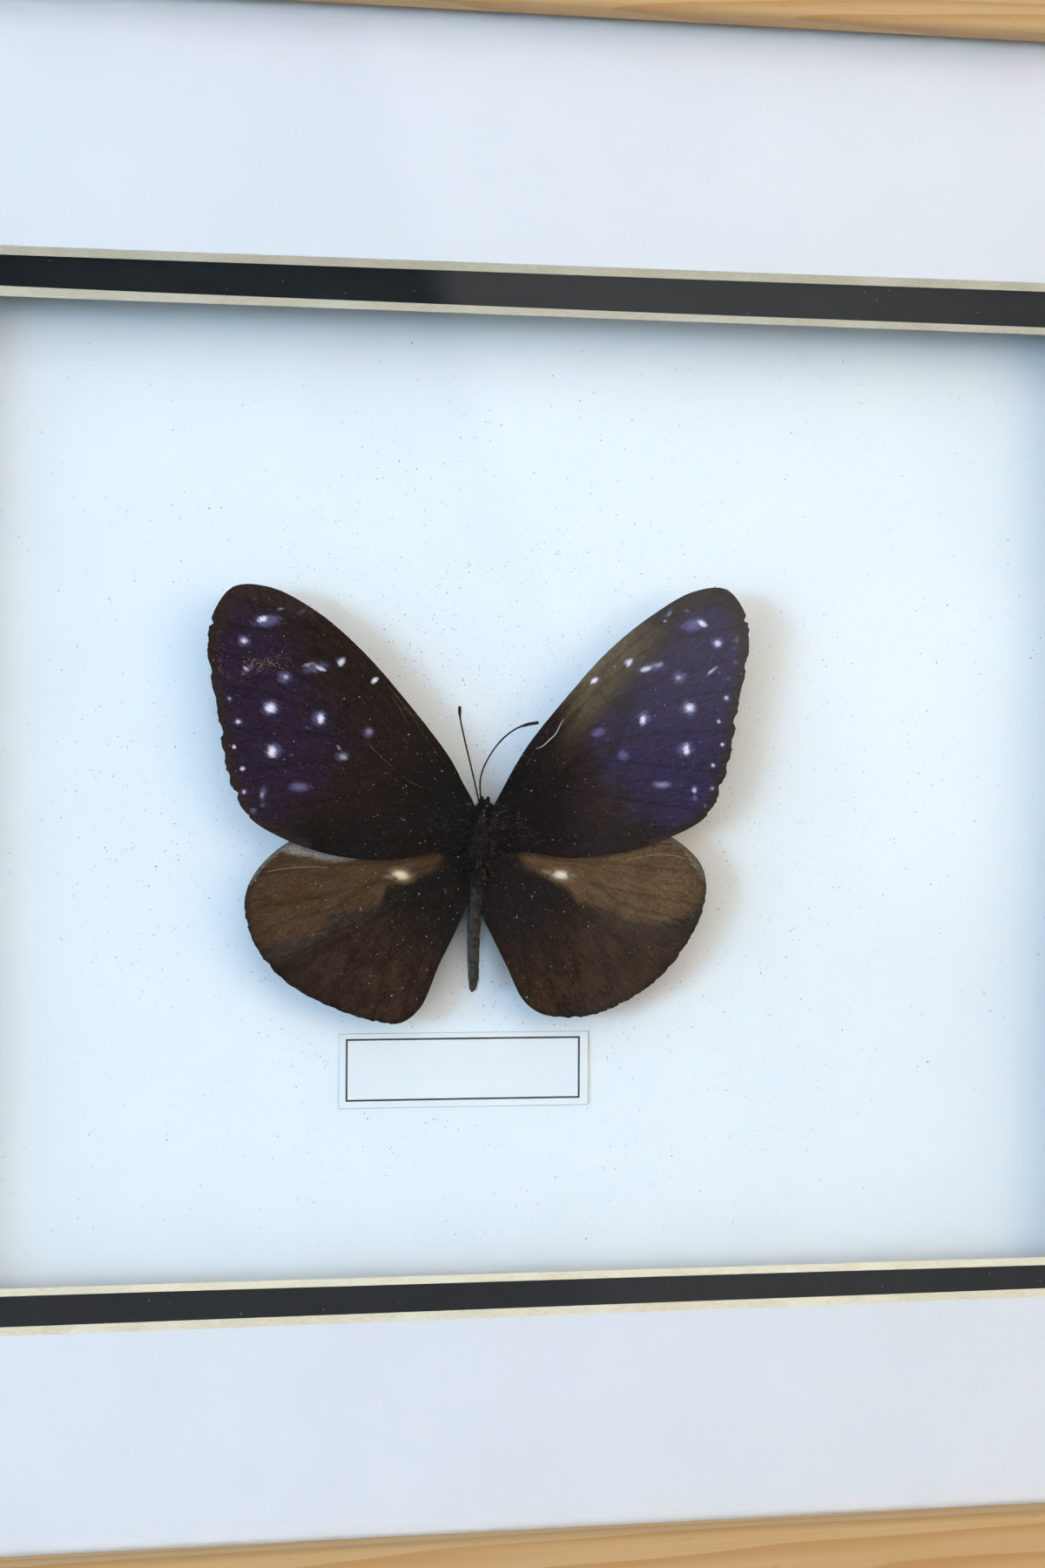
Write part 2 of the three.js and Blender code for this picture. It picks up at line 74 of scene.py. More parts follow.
CAMERA_PLACE = (-0.04515, -0.29467, 0.11878)
CAMERA_YAW = 8.774
CAMERA_PITCH = 0.077
CAMERA_ROLL = 0.044


def smooth_step(low, high, value):
    share = np.clip((value - low) / (high - low), 0, 1)
    return share * share * (3 - 2 * share)


# Meshes

FIELD_KINDS = {3: ("FLOAT_VECTOR", "vector"), 4: ("FLOAT_COLOR", "color")}


def add_object(name, points, faces, looks, face_looks=None, sharp=None, fields=None):
    """A mesh object from points in millimetres, with its faces turned outwards."""
    mesh = bpy.data.meshes.new(name)
    mesh.from_pydata((np.asarray(points, float) * MM).tolist(), [], faces)
    if face_looks is not None:
        mesh.polygons.foreach_set("material_index", face_looks)
    shape = bmesh.new()
    shape.from_mesh(mesh)
    bmesh.ops.recalc_face_normals(shape, faces=shape.faces)
    shape.to_mesh(mesh)
    shape.free()
    for look in looks:
        mesh.materials.append(look)
    if sharp is not None:
        mesh.polygons.foreach_set("use_smooth", [True] * len(mesh.polygons))
        mesh.set_sharp_from_angle(angle=math.radians(sharp))
    for field, values in (fields or {}).items():
        values = np.asarray(values, np.float32)
        kind, key = FIELD_KINDS[values.shape[1]]
        mesh.attributes.new(field, kind, "POINT").data.foreach_set(key, values.ravel())
    made = bpy.data.objects.new(name, mesh)
    bpy.context.scene.collection.objects.link(made)
    return made


def add_piece(name, slot, replaced, *args, **settings):
    piece = add_object(name, *args, **settings)
    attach(piece, "root")
    if replaced:
        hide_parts(replaced)


def add_scattered(name, slot, groups, looks):
    """One piece from groups of small parts, with a look for each group."""
    points, faces, owners = merged(groups)
    add_piece(name, slot, None, points, faces, looks, face_looks=owners, sharp=80)


def merged(groups):
    """One list of points and faces from groups of parts, with the number of each face's group."""
    points, faces, owners = [], [], []
    start = 0
    for number, parts in enumerate(groups):
        for part_points, part_faces in parts:
            points.append(np.asarray(part_points, float))
            faces += [[start + i for i in face] for face in part_faces]
            owners += [number] * len(part_faces)
            start += len(part_points)
    return np.concatenate(points), faces, owners


def loop_faces(rows, count, closed=False):
    """Quads between neighbouring loops of count points each."""
    faces = []
    for row in range(rows if closed else rows - 1):
        first, second = row * count, (row + 1) % rows * count
        for i in range(count):
            following = (i + 1) % count
            faces.append([first + i, first + following, second + following, second + i])
    return faces


def capped_faces(rows, count):
    """Quads between loops, and one flat face over each end."""
    last = rows * count - 1
    return loop_faces(rows, count) + [list(range(count)), [last - i for i in range(count)]]


def pointed_faces(rows, count):
    """Quads between loops, and triangles to a point before the first loop and a point after the last."""
    faces = [[1 + i for i in face] for face in loop_faces(rows, count)]
    last = 1 + (rows - 1) * count
    tip = last + count
    for i in range(count):
        following = (i + 1) % count
        faces += [[0, 1 + following, 1 + i], [tip, last + i, last + following]]
    return faces


def slab_faces(front, count):
    """The back of a thin sheet, whose points come count places after the front's, and its rim."""
    back = [[count + i for i in reversed(face)] for face in front]
    open_sides = {}
    for face in front:
        for a, b in zip(face, face[1:] + face[:1]):
            if open_sides.pop((b, a), None) is None:
                open_sides[(a, b)] = [b, a, a + count, b + count]
    return back, list(open_sides.values())


def turned(points, degrees, centre=(0, 0)):
    """Points turned clockwise seen from the front, about a place across and up."""
    points = np.array(points, float)
    turn = math.radians(degrees)
    across = points[:, 0] - centre[0]
    up = points[:, 2] - centre[1]
    points[:, 0] = centre[0] + across * math.cos(turn) + up * math.sin(turn)
    points[:, 2] = centre[1] - across * math.sin(turn) + up * math.cos(turn)
    return points


def spline(points, closed=False):
    """A centripetal Catmull-Rom curve as a function of the place along it, one unit to each segment."""
    points = [np.array(p, float) for p in points]
    count = len(points)

    def pick(i):
        if closed:
            return points[i % count]
        if i < 0:
            return 2 * points[0] - points[1]
        if i >= count:
            return 2 * points[-1] - points[-2]
        return points[i]

    def at(place):
        i = int(math.floor(place))
        if not closed:
            i = min(i, count - 2)
        share = place - i
        p0, p1, p2, p3 = (pick(i + k) for k in (-1, 0, 1, 2))
        d0, d1, d2 = (max(np.linalg.norm(b - a) ** 0.5, 1e-4) for a, b in ((p0, p1), (p1, p2), (p2, p3)))
        t1 = ((p1 - p0) / d0 - (p2 - p0) / (d0 + d1) + (p2 - p1) / d1) * d1
        t2 = ((p2 - p1) / d1 - (p3 - p1) / (d1 + d2) + (p3 - p2) / d2) * d1
        a = 2 * p1 - 2 * p2 + t1 + t2
        b = -3 * p1 + 3 * p2 - 2 * t1 - t2
        return ((a * share + b) * share + t1) * share + p1

    return at


def sampled(points, steps):
    """Points at even places along an open curve."""
    at = spline(points)
    last = len(points) - 1
    return np.array([at(min(place, last - 1e-6)) for place in np.linspace(0, last, steps)])


def tube(line, radii, sides):
    """Points and faces of a round tube along a line, closed at both ends."""
    along = np.gradient(line, axis=0)
    along /= np.linalg.norm(along, axis=1)[:, None]
    side = np.cross(along, [0.0, 1.0, 0.0])
    side /= np.maximum(np.linalg.norm(side, axis=1), 1e-9)[:, None]
    other = np.cross(along, side)
    angles = 2 * math.pi * np.arange(sides) / sides
    spokes = side[:, None] * np.cos(angles)[None, :, None] + other[:, None] * np.sin(angles)[None, :, None]
    points = (line[:, None] + spokes * radii[:, None, None]).reshape(-1, 3)
    return points, capped_faces(len(line), sides)


# Materials


class Look:
    """A node material. Most methods add a node and give back its output."""

    def __init__(self, name, **settings):
        self.material = bpy.data.materials.new(name)
        self.material.use_nodes = True
        self.nodes = self.material.node_tree.nodes
        self.links = self.material.node_tree.links
        self.nodes.clear()
        self.shader = self.add("ShaderNodeBsdfPrincipled")
        self.output = self.add("ShaderNodeOutputMaterial")
        self.put(self.output.inputs["Surface"], self.shader.outputs["BSDF"])
        for socket, value in settings.items():
            self.set(socket.replace("_", " "), value)

    def add(self, kind, *values, **settings):
        """A node with its settings, and with values or links in its first sockets."""
        node = self.nodes.new(kind)
        for key, value in settings.items():
            setattr(node, key, value)
        for socket, value in zip(node.inputs, values):
            self.put(socket, value)
        return node

    def put(self, socket, value):
        if isinstance(value, bpy.types.NodeSocket):
            self.links.new(value, socket)
        elif hasattr(value, "__len__") and len(value) == 3 and socket.type == "RGBA":
            socket.default_value = (*value, 1.0)
        else:
            socket.default_value = value

    def set(self, socket, value):
        self.put(self.shader.inputs[socket], value)

    def place(self):
        """The surface's place in millimetres."""
        return self.scaled(self.add("ShaderNodeTexCoord").outputs["Object"], (1000, 1000, 1000))

    def scaled(self, vector, scale):
        return self.add("ShaderNodeVectorMath", vector, scale, operation="MULTIPLY").outputs[0]

    def field(self, name, kind="Color"):
        return self.add("ShaderNodeAttribute", attribute_name=name).outputs[kind]

    def split(self, vector):
        return self.add("ShaderNodeSeparateXYZ", vector).outputs

    def join(self, *values):
        return self.add("ShaderNodeCombineXYZ", *values).outputs[0]

    def math(self, operation, *values):
        return self.add("ShaderNodeMath", *values, operation=operation).outputs[0]

    def times(self, a, b):
        return self.math("MULTIPLY", a, b)

    def plus(self, a, b):
        return self.math("ADD", a, b)

    def minus(self, a, b):
        return self.math("SUBTRACT", a, b)

    def swing(self, noise, reach):
        """Noise moved to lie about zero, and scaled."""
        return self.times(self.minus(noise, 0.5), reach)

    def blend(self, a, b, share):
        """The share of one value and the rest of another."""
        return self.plus(self.times(a, share), self.times(b, 1 - share))

    def mix(self, factor, a, b, mode="MIX"):
        node = self.add("ShaderNodeMix", factor, data_type="RGBA", blend_type=mode)
        self.put(node.inputs[6], a)
        self.put(node.inputs[7], b)
        return node.outputs[2]

    def over(self, colour, tint, where, strength):
        """A colour with a tint laid over it where a mask shows."""
        return self.mix(self.times(where, strength), colour, tint)

    def noise(self, vector, scale, detail=2, roughness=0.5, distortion=0):
        """Cloudy noise; three scales stretch it along the axes."""
        if isinstance(scale, tuple):
            vector, scale = self.scaled(vector, scale), 1
        node = self.add("ShaderNodeTexNoise")
        for socket, value in (
            ("Vector", vector), ("Scale", scale), ("Detail", detail),
            ("Roughness", roughness), ("Distortion", distortion),
        ):
            self.put(node.inputs[socket], value)
        return node.outputs["Fac"]

    def cells(self, vector, scale):
        node = self.add("ShaderNodeTexVoronoi")
        self.put(node.inputs["Vector"], vector)
        self.put(node.inputs["Scale"], scale)
        return node.outputs

    def step(self, value, low, high, start=0, end=1):
        node = self.add("ShaderNodeMapRange", value, low, high, start, end, interpolation_type="SMOOTHSTEP")
        return node.outputs[0]

    def specks(self, vector, scale, share, size):
        """Round specks in a share of the cells, 1 inside them and 0 outside."""
        cells = self.cells(vector, scale)
        chosen = self.math("LESS_THAN", self.split(cells["Color"])[0], share)
        return self.times(chosen, self.step(cells["Distance"], size, size * 0.6))

    def finished(self, colour, height=None, distance=0, strength=0):
        """The material with its colour, and with fine relief where it has any."""
        self.set("Base Color", colour)
        if height:
            node = self.add("ShaderNodeBump")
            self.put(node.inputs["Height"], height)
            self.put(node.inputs["Distance"], distance * MM)
            self.put(node.inputs["Strength"], strength)
            self.set("Normal", node.outputs["Normal"])
        return self.material


def toned(colour, *shares):
    return [part * share for part, share in zip(colour, shares)]


def pine_look():
    """Pine with growth rings around a pith behind each rail's face; the mesh gives each rail's own axes."""
    look = Look("pine", Roughness=0.42, Specular_IOR_Level=0.25, Coat_Weight=0.05, Coat_Roughness=0.3)
    grain = look.field("grain", "Vector")
    along, across, depth = look.split(grain)
    drift = look.noise(look.join(look.times(along, 0.006), 0, 0), 1, 1)
    pith = look.plus(look.times(along, 0.045), look.swing(drift, 9))
    from_pith = look.join(look.minus(across, pith), look.plus(depth, 21), 0)
    radius = look.add("ShaderNodeVectorMath", from_pith, operation="LENGTH").outputs["Value"]
    uneven = look.noise(grain, (0.012, 0.22, 0.22))
    ring = look.math("FRACT", look.plus(look.times(radius, 0.46), look.times(uneven, 1.5)))
    late = look.times(look.step(ring, 0.35, 0.9), look.step(ring, 1, 0.94))
    fibres = look.noise(grain, (0.05, 3.2, 3.2), 3, 0.6)
    cloud = look.noise(grain, (0.02, 0.1, 0.1))
    light = look.mix(cloud, (0.95, 0.57, 0.25), (0.98, 0.66, 0.33))
    dark = look.mix(fibres, (0.73, 0.32, 0.09), (0.84, 0.42, 0.14))
    colour = look.over(light, dark, late, 0.6)
    colour = look.over(colour, (0.74, 0.38, 0.15), look.step(fibres, 0.42, 0.7), 0.16)
    pores = look.specks(look.scaled(grain, (0.25, 2.6, 2.6)), 1, 0.06, 0.22)
    colour = look.over(colour, (0.42, 0.19, 0.07), pores, 0.35)
    look.set("Roughness", look.step(late, 0, 1, 0.5, 0.38))
    return look.finished(colour, look.blend(late, fibres, 0.5), 0.05, 0.6)


def glass_look():
    """Clear glass that lets the lamps' light through to what is behind it."""
    look = Look("glass", Base_Color=(0.985, 0.995, 0.99), Roughness=0, IOR=1.5, Transmission_Weight=1)
    shadow_ray = look.add("ShaderNodeLightPath").outputs["Is Shadow Ray"]
    clear = look.add("ShaderNodeBsdfTransparent", (0.93, 0.95, 0.94)).outputs["BSDF"]
    both = look.add("ShaderNodeMixShader", shadow_ray, look.shader.outputs["BSDF"], clear)
    look.put(look.output.inputs["Surface"], both.outputs["Shader"])
    return look.material


def paper_look(name, colour, dark, grain=2.4, relief=0.02, speck=None, speck_share=0.02, rough=0.9):
    """Matt board or paper: faint cloudy tone, fine tooth and a few specks."""
    look = Look(name, Roughness=rough, Specular_IOR_Level=0.03)
    place = look.place()
    cloud = look.noise(place, 0.05, 3)
    tooth = look.noise(place, grain, 3, 0.65)
    shade = look.mix(look.step(look.blend(cloud, tooth, 0.55), 0.3, 0.7), dark, colour)
    if speck:
        large = look.specks(place, 0.34, speck_share, 0.06)
        small = look.specks(place, 1.1, speck_share * 1.5, 0.09)
        shade = look.over(shade, speck, look.math("MAXIMUM", large, small), 0.7)
    return look.finished(shade, tooth, relief, 0.7)


def core_look():
    """The cut edge of a mat board: cream core with fine fibres and a cloudy tone."""
    look = Look("mat_core", Roughness=0.92, Specular_IOR_Level=0.2)
    place = look.place()
    fibres = look.noise(place, (1.2, 6, 1.2), 3, 0.65)
    tone = look.step(look.blend(fibres, look.noise(place, 0.12), 0.6), 0.3, 0.7)
    return look.finished(look.mix(tone, (0.67, 0.575, 0.42), (0.83, 0.75, 0.6)), fibres, 0.04, 0.8)


def hardboard_look():
    """Hardboard: pressed brown fibres under a smooth, slightly shiny face."""
    look = Look("hardboard", Specular_IOR_Level=0.35)
    place = look.place()
    strands = look.noise(look.scaled(place, (1.6, 1, 0.7)), 0.9, 4, 0.7, 1.6)
    colour = look.mix(look.noise(place, 0.06, 4), (0.15, 0.078, 0.038), (0.24, 0.135, 0.07))
    colour = look.over(colour, (0.34, 0.21, 0.11), look.step(strands, 0.5, 0.72), 0.55)
    flecks = look.specks(place, 0.9, 0.28, 0.3)
    look.set("Roughness", look.step(strands, 0.3, 0.7, 0.5, 0.68))
    return look.finished(look.over(colour, (0.09, 0.045, 0.022), flecks, 0.35), strands, 0.05, 0.5)


def steel_look():
    """Thin zinc plated steel with spangle, rolling marks and a dull bloom."""
    look = Look("steel", Metallic=1)
    place = look.place()
    spangle = look.split(look.cells(place, 0.45)["Color"])[0]
    tone = look.blend(spangle, look.noise(place, 0.3, 4), 0.35)
    look.set("Roughness", look.step(tone, 0.2, 0.8, 0.28, 0.48))
    marks = look.noise(place, (9, 9, 0.5), 3, 0.7)
    return look.finished(look.mix(tone, (0.42, 0.43, 0.43), (0.66, 0.66, 0.64)), marks, 0.01, 0.5)


class WingLook(Look):
    """The look of a wing, with noise that runs with its scales."""

    def __init__(self, name):
        super().__init__(name, Roughness=0.72, Specular_IOR_Level=0.02, Sheen_Weight=0.01, Sheen_Roughness=0.4)
        self.flow = self.field("flow", "Vector")
        self.streaks = self.noise(self.flow, (0.55, 3.4, 3.4), 4, 0.65)
        self.scales = self.noise(self.flow, (3.4, 8.5, 8.5), 3, 0.75)
        self.blotches = self.noise(self.flow, (0.32, 0.55, 0.55), 4, 0.6)
        self.edge_noise = self.blend(self.streaks, self.scales, 0.5)

    def spot(self, depth, strength, reach, low, high):
        """Where a spot shows: its depth field, broken up by noise at its edge."""
        broken = self.plus(depth, self.swing(self.edge_noise, reach))
        return self.times(self.step(broken, low, high), strength)

    def grained(self, colour):
        """Uneven scales: lighter and darker grains, and a few reddish ones and pale ones."""
        grain = self.times(self.step(self.scales, 0.25, 0.75, 0.55, 1.5),
                           self.step(self.streaks, 0.3, 0.7, 0.8, 1.22))
        colour = self.mix(1, colour, self.join(grain, grain, grain), "MULTIPLY")
        colour = self.over(colour, (0.05, 0.022, 0.015), self.specks(self.flow, 2.1, 0.16, 0.5), 0.5)
        pale = self.specks(self.scaled(self.flow, (1, 1, 1.3)), 2.7, 0.035, 0.28)
        return self.over(colour, (0.13, 0.12, 0.12), pale, 0.55)

    def dressed(self, colour):
        return self.finished(colour, self.scales, 0.03, 0.6)


def forewing_look(name, base, basal, violet_sheen, margin, olive, halo, core):
    """A forewing: dark ground, a violet zone that is painted sheen, an olive zone, white spots in violet
    halos, and worn patches.
    """
    look = WingLook(name)
    core_depth, core_strength, halo_depth = look.split(look.field("spots"))
    halo_strength = look.field("spots", "Alpha")
    in_violet_sheen, in_margin, in_damage = look.split(look.field("zones"))
    in_olive = look.field("zones", "Alpha")
    vein, in_base, _ = look.split(look.field("lines", "Vector"))
    colour = look.mix(in_base, base, basal)
    broken = look.times(look.step(look.plus(in_violet_sheen, look.swing(look.blotches, 1.3)), 0, 1),
                        look.step(look.streaks, 0.25, 0.6, 0.7, 1))
    # The violet zone is painted sheen: the wing's angle-dependent violet shimmer laid into its colour.
    colour = look.over(colour, violet_sheen, broken, look.step(in_violet_sheen, 0, 0.15))
    colour = look.over(colour, olive, in_olive, look.step(look.blotches, 0.25, 0.6, 0.45, 1))
    colour = look.mix(in_margin, colour, margin)
    colour = look.grained(look.over(colour, basal, vein, 0.4))
    colour = look.mix(look.spot(halo_depth, halo_strength, 1.9, -0.25, 0.85), colour, halo)
    colour = look.mix(look.spot(core_depth, core_strength, 2.2, -0.15, 0.85), colour, core)
    bare = look.times(look.specks(look.flow, 2.6, 0.5, 0.42), look.step(in_damage, 0.05, 0.6))
    return look.dressed(look.over(colour, (0.16, 0.095, 0.055), bare, 0.8))


def hindwing_look(name, brown, dark, pale, rim, brand):
    """A hindwing: brown ground, a pale upper part with a grey rim, and one cream mark with a soft glow."""
    look = WingLook(name)
    brand_depth, brand_strength, _ = look.split(look.field("spots"))
    in_pale, in_rim, in_margin = look.split(look.field("zones"))
    in_band = look.field("zones", "Alpha")
    vein, in_base, _ = look.split(look.field("lines", "Vector"))
    mottle = look.plus(look.swing(look.streaks, 0.7), look.swing(look.blotches, 0.9))
    ground = look.mix(look.step(look.blotches, 0.35, 0.65), brown, toned(brown, 0.62, 0.62, 0.62))
    colour = look.mix(in_base, ground, dark)
    upper = look.mix(look.step(look.blotches, 0.35, 0.7), pale, toned(pale, 0.72, 0.66, 0.62))
    colour = look.mix(look.step(look.plus(in_pale, mottle), 0.15, 0.85), colour, upper)
    colour = look.over(colour, (0.05, 0.04, 0.042), in_band, look.step(look.streaks, 0.3, 0.6))
    colour = look.mix(look.step(look.plus(in_rim, look.times(mottle, 0.8)), 0.2, 0.9), colour, rim)
    colour = look.over(colour, dark, in_margin, 0.5)
    colour = look.grained(look.over(colour, dark, vein, 0.32))
    glow = look.spot(brand_depth, brand_strength, 1.4, -0.95, 0.25)
    colour = look.over(colour, toned(brand, 0.3, 0.24, 0.2), glow, 0.6)
    return look.dressed(look.mix(look.spot(brand_depth, brand_strength, 1, -0.15, 0.85), colour, brand))


def insect_look(name, dark, light, rough=0.6, relief=0.03, bloom=None):
    """The body's dark shell, dusted unevenly; a bloom gives the colour that it takes towards the tail."""
    look = Look(name, Roughness=rough, Specular_IOR_Level=0.08)
    place = look.place()
    dusting = look.noise(place, 1.6, 4, 0.6)
    fine = look.noise(place, 9, 3, 0.7)
    colour = look.mix(look.step(dusting, 0.35, 0.75), dark, light)
    if bloom:
        towards_tail = look.step(look.split(place)[2], 108, 92)
        grains = look.step(look.plus(fine, dusting), 0.85, 1.15, 0.25, 1)
        colour = look.over(colour, bloom, towards_tail, grains)
    return look.finished(colour, look.plus(dusting, look.times(fine, 0.5)), relief, 0.8)


def eye_look():
    """The compound eye: black, finely faceted and glossy enough to catch the lamps."""
    look = Look("insect_eye", Roughness=0.16, Specular_IOR_Level=0.7)
    tone = look.step(look.cells(look.place(), 9)["Distance"], 0.2, 0.7)
    return look.finished(look.mix(tone, (0.012, 0.012, 0.015), (0.02, 0.022, 0.03)), tone, 0.006, 0.4)


def hair_look(name, dark, light):
    look = Look(name, Roughness=0.6, Specular_IOR_Level=0.06)
    tone = look.step(look.noise(look.place(), 0.9), 0.35, 0.65)
    return look.finished(look.mix(tone, dark, light))


def floor_look():
    look = Look("floor", Roughness=0.9)
    pale = (0.8, 0.8, 0.8)
    return look.finished(look.mix(look.noise(look.place(), 0.004, 3), toned(pale, 0.96, 0.96, 0.96), pale))


pine = pine_look()
glass = glass_look()
white_face = paper_look(
    "white_mat_face", (0.76, 0.768, 0.815), (0.725, 0.733, 0.78), speck=(0.18, 0.14, 0.12), speck_share=0.012)
black_face = paper_look(
    "black_mat_face", (0.017, 0.019, 0.021), (0.011, 0.013, 0.015), grain=3.5, relief=0.03,
    speck=(0.5, 0.5, 0.47), speck_share=0.09, rough=0.8)
mat_core = core_look()
board_face = paper_look(
    "board_face", (0.87, 0.925, 0.97), (0.84, 0.895, 0.95), grain=3, speck=(0.22, 0.22, 0.26))
foam = paper_look("foam", (0.85, 0.86, 0.86), (0.78, 0.79, 0.79), grain=1.4, relief=0.08)
hardboard = hardboard_look()
steel = steel_look()
label_paper = paper_look("label_paper", (0.87, 0.91, 0.94), (0.83, 0.87, 0.905), grain=4)
# The label's cut rim is painted grey: a painted shadow line round the paper's edge.
label_edge_shade = paper_look("label_edge_shade", (0.58, 0.6, 0.62), (0.46, 0.48, 0.5), grain=4)
label_ink = paper_look("label_ink", (0.07, 0.07, 0.075), (0.035, 0.035, 0.04), grain=6)


# Frame rails

# The rails in turn clockwise from the bottom, with each one's start along the grain
RAILS = {"rail_bottom": 0, "rail_left": 900, "rail_top": 1837, "rail_right": 2690}
RAIL_STATIONS = 61
FACE_WAVE = 0.04
ARRIS = 0.35


def rail_profile():
    """The rail's section as inset from the frame's edge and depth, with finer rounds than the CAD's."""
    turns = np.linspace(0, math.pi / 2, 9)
    outer = [(OUTER_ROUND * (1 - math.cos(a)), FRONT + OUTER_ROUND * (1 - math.sin(a))) for a in turns]
    sight = [
        (RAIL_WIDTH - SIGHT_ROUND * (1 - math.sin(a)), FRONT + SIGHT_ROUND * (1 - math.cos(a))) for a in turns
    ]
    back = FRAME_DEPTH / 2
    inner = RAIL_WIDTH - LIP_WIDTH
    return [
        (ARRIS, back), (0, back - ARRIS), *outer, *sight,
        (RAIL_WIDTH, FRONT + LIP_DEPTH - ARRIS), (RAIL_WIDTH - ARRIS, FRONT + LIP_DEPTH),
        (inner, FRONT + LIP_DEPTH), (inner, back),
    ]


def add_rails():
    profile = rail_profile()
    stations = np.linspace(-1, 1, RAIL_STATIONS)
    for number, (name, offset) in enumerate(RAILS.items()):
        length, height = (FRAME_HEIGHT, FRAME_WIDTH) if number % 2 else (FRAME_WIDTH, FRAME_HEIGHT)
        points, grain = [], []
        for station in stations:
            for inset, y in profile:
                along = station * (length / 2 - inset - MITRE_GAP)
                hollow = FACE_WAVE * (1 + math.sin(0.11 * along + 0.3 * inset + offset))
                points.append((along, y + (hollow if y < FRONT + 1 else 0), inset - height / 2))
                grain.append((along + offset, inset, y - FRONT))
        points = turned(points, 90 * number)
        points[:, 2] += FRAME_CENTRE_Z
        faces = capped_faces(len(stations), len(profile))
        add_piece(name + "_wood", "pine", name, points, faces, [pine], sharp=40, fields={"grain": grain})


# Mats

SIDE_STEPS = 48
FACE_WOBBLE = 0.03
BACK_WOBBLE = 0.02
EDGE_LOOP_SHARE = 0.06


def square_sides():
    """Places round a square from -1 to 1, side by side: the side's number, the share of it and the place."""
    corners = np.array([(-1, -1), (1, -1), (1, 1), (-1, 1)], float)
    for side in range(4):
        along = corners[(side + 1) % 4] - corners[side]
        for k in range(SIDE_STEPS):
            yield side, k / SIDE_STEPS, corners[side] + along * k / SIDE_STEPS


def window_loop(size, y, centre_z, turn, wobble, seed, ends=(0, 0, 0, 0)):
    """A window's edge, cut by hand: ends are how far the cut runs outwards at the top left, top right,
    bottom left and bottom right."""
    phases = np.random.default_rng(seed).uniform(0, 2 * math.pi, (4, 3))
    points = []
    for side, share, place in square_sides():
        x, z = place * size / 2
        wave = sum(math.sin((n + 1) * 5.3 * share + phases[side][n]) for n in range(3)) * wobble / 3
        wave *= min(1, 8 * share * (1 - share))
        if side in (0, 2):
            left, right = ends[2:] if side == 0 else ends[:2]
            near_right = (place[0] + 1) / 2
            z += place[1] * (wave + left * (1 - near_right) ** 3 + right * near_right ** 3)
        else:
            x += place[0] * wave
        points.append((x, 0, z))
    return turned(points, turn) + [0, y, centre_z]


def board_loop(y):
    """The sheet's own edge, with points that match a window loop's."""
    places = np.array([place * SHEET_SIZE / 2 for _, _, place in square_sides()])
    return np.insert(places, 1, y, axis=1) + [0, 0, FRAME_CENTRE_Z]


def add_mat(name, face, window, y, centre_z, turn, seed, front_ends=(0, 0, 0, 0), bevel_loss=0):
    """A mat with a bevelled window; the top and bottom bevels together are narrower by bevel_loss."""
    front_window = np.array(window) + 2 * BEVEL - [0, bevel_loss]
    front_edge = window_loop(front_window, y, centre_z, turn, FACE_WOBBLE, seed, front_ends)
    back_edge = window_loop(np.array(window), y + MAT_THICKNESS, centre_z, turn, BACK_WOBBLE, seed + 1)
    outer_front, outer_back = board_loop(y), board_loop(y + MAT_THICKNESS)
    inner_front = front_edge + (outer_front - front_edge) * EDGE_LOOP_SHARE
    burr = front_edge + (back_edge - front_edge) * EDGE_LOOP_SHARE
    loops = [outer_front, inner_front, front_edge, burr, back_edge, outer_back]
    count = len(front_edge)
    ring_looks = [0, 0, 0, 1, 0, 0]
    add_piece(name + "_board", name, name, np.concatenate(loops), loop_faces(len(loops), count, closed=True),
              [face, mat_core], face_looks=np.repeat(ring_looks, count), sharp=30)


def add_mats():
    add_mat("white_mat", white_face, WHITE_WINDOW, WHITE_MAT_Y, WHITE_WINDOW_Z, turn=-0.055, seed=11)
    add_mat("black_mat", black_face, BLACK_WINDOW, BLACK_MAT_Y, BLACK_WINDOW_Z, turn=0.207, seed=23,
            front_ends=(0.42, 0, 0, 0.08), bevel_loss=0.3)


# Wings

# The wings' outlines, as reach from the specimen's middle line and height
WINGS = {
    "left_forewing": [
        (2.5, 7.8), (4.3, 11.2), (10, 18.6), (16.3, 25.7), (22.5, 30.9), (28.6, 33.9), (33.4, 33.8),
        (36.3, 29.4), (36.7, 24.2), (35.6, 18.2), (34.8, 12.4), (33.7, 7.6), (31.2, 3.2),
        (25.6, -0.1), (19.4, -2), (12.6, -2.5), (6.6, -1.6), (2.8, -1.2), (0.8, -0.8), (0.5, 3.2), (1.1, 5.2),
    ],
    "right_forewing": [
        (2.6, 6.5), (6.2, 12.7), (11.6, 19.4), (17.4, 25.8), (23.4, 30.7), (29.4, 34.1), (33.9, 34.4),
        (36.7, 30.6), (37, 25.4), (35.8, 19.6), (35, 14.4), (33.8, 8.8), (31.2, 3.4),
        (26.1, 0.4), (20.5, -1.4), (12.6, -2.4), (7, -1.7), (2.8, -1.1), (0.8, -0.8), (0.5, 2.4), (1.3, 4),
    ],
    "left_hindwing": [
        (1, 0.6), (9, 2.2), (17, 2.4), (23.4, 1.2), (28.2, -1.7), (31.2, -5.6), (31.8, -9.2),
        (30.4, -13.9), (26.6, -18.6), (20.7, -22.1), (14.7, -24.2), (11.1, -24.6),
        (8.3, -22.6), (5.7, -16.8), (3.4, -12.2), (1.95, -9.1), (1, -7.4), (0.8, -3.6),
    ],
    "right_hindwing": [
        (1, 0.6), (9, 2.2), (17, 2.6), (23, 1.9), (27.6, -0.4), (30.6, -3.6), (31.2, -7.6),
        (29.6, -12.4), (25.6, -18), (20, -22.1), (14, -24.1), (8.6, -23.7),
        (5.9, -21.8), (3.6, -17.2), (1.5, -12.9), (0.45, -10.8), (-0.1, -9), (0.2, -5.6), (0.5, -2.4),
    ],
}
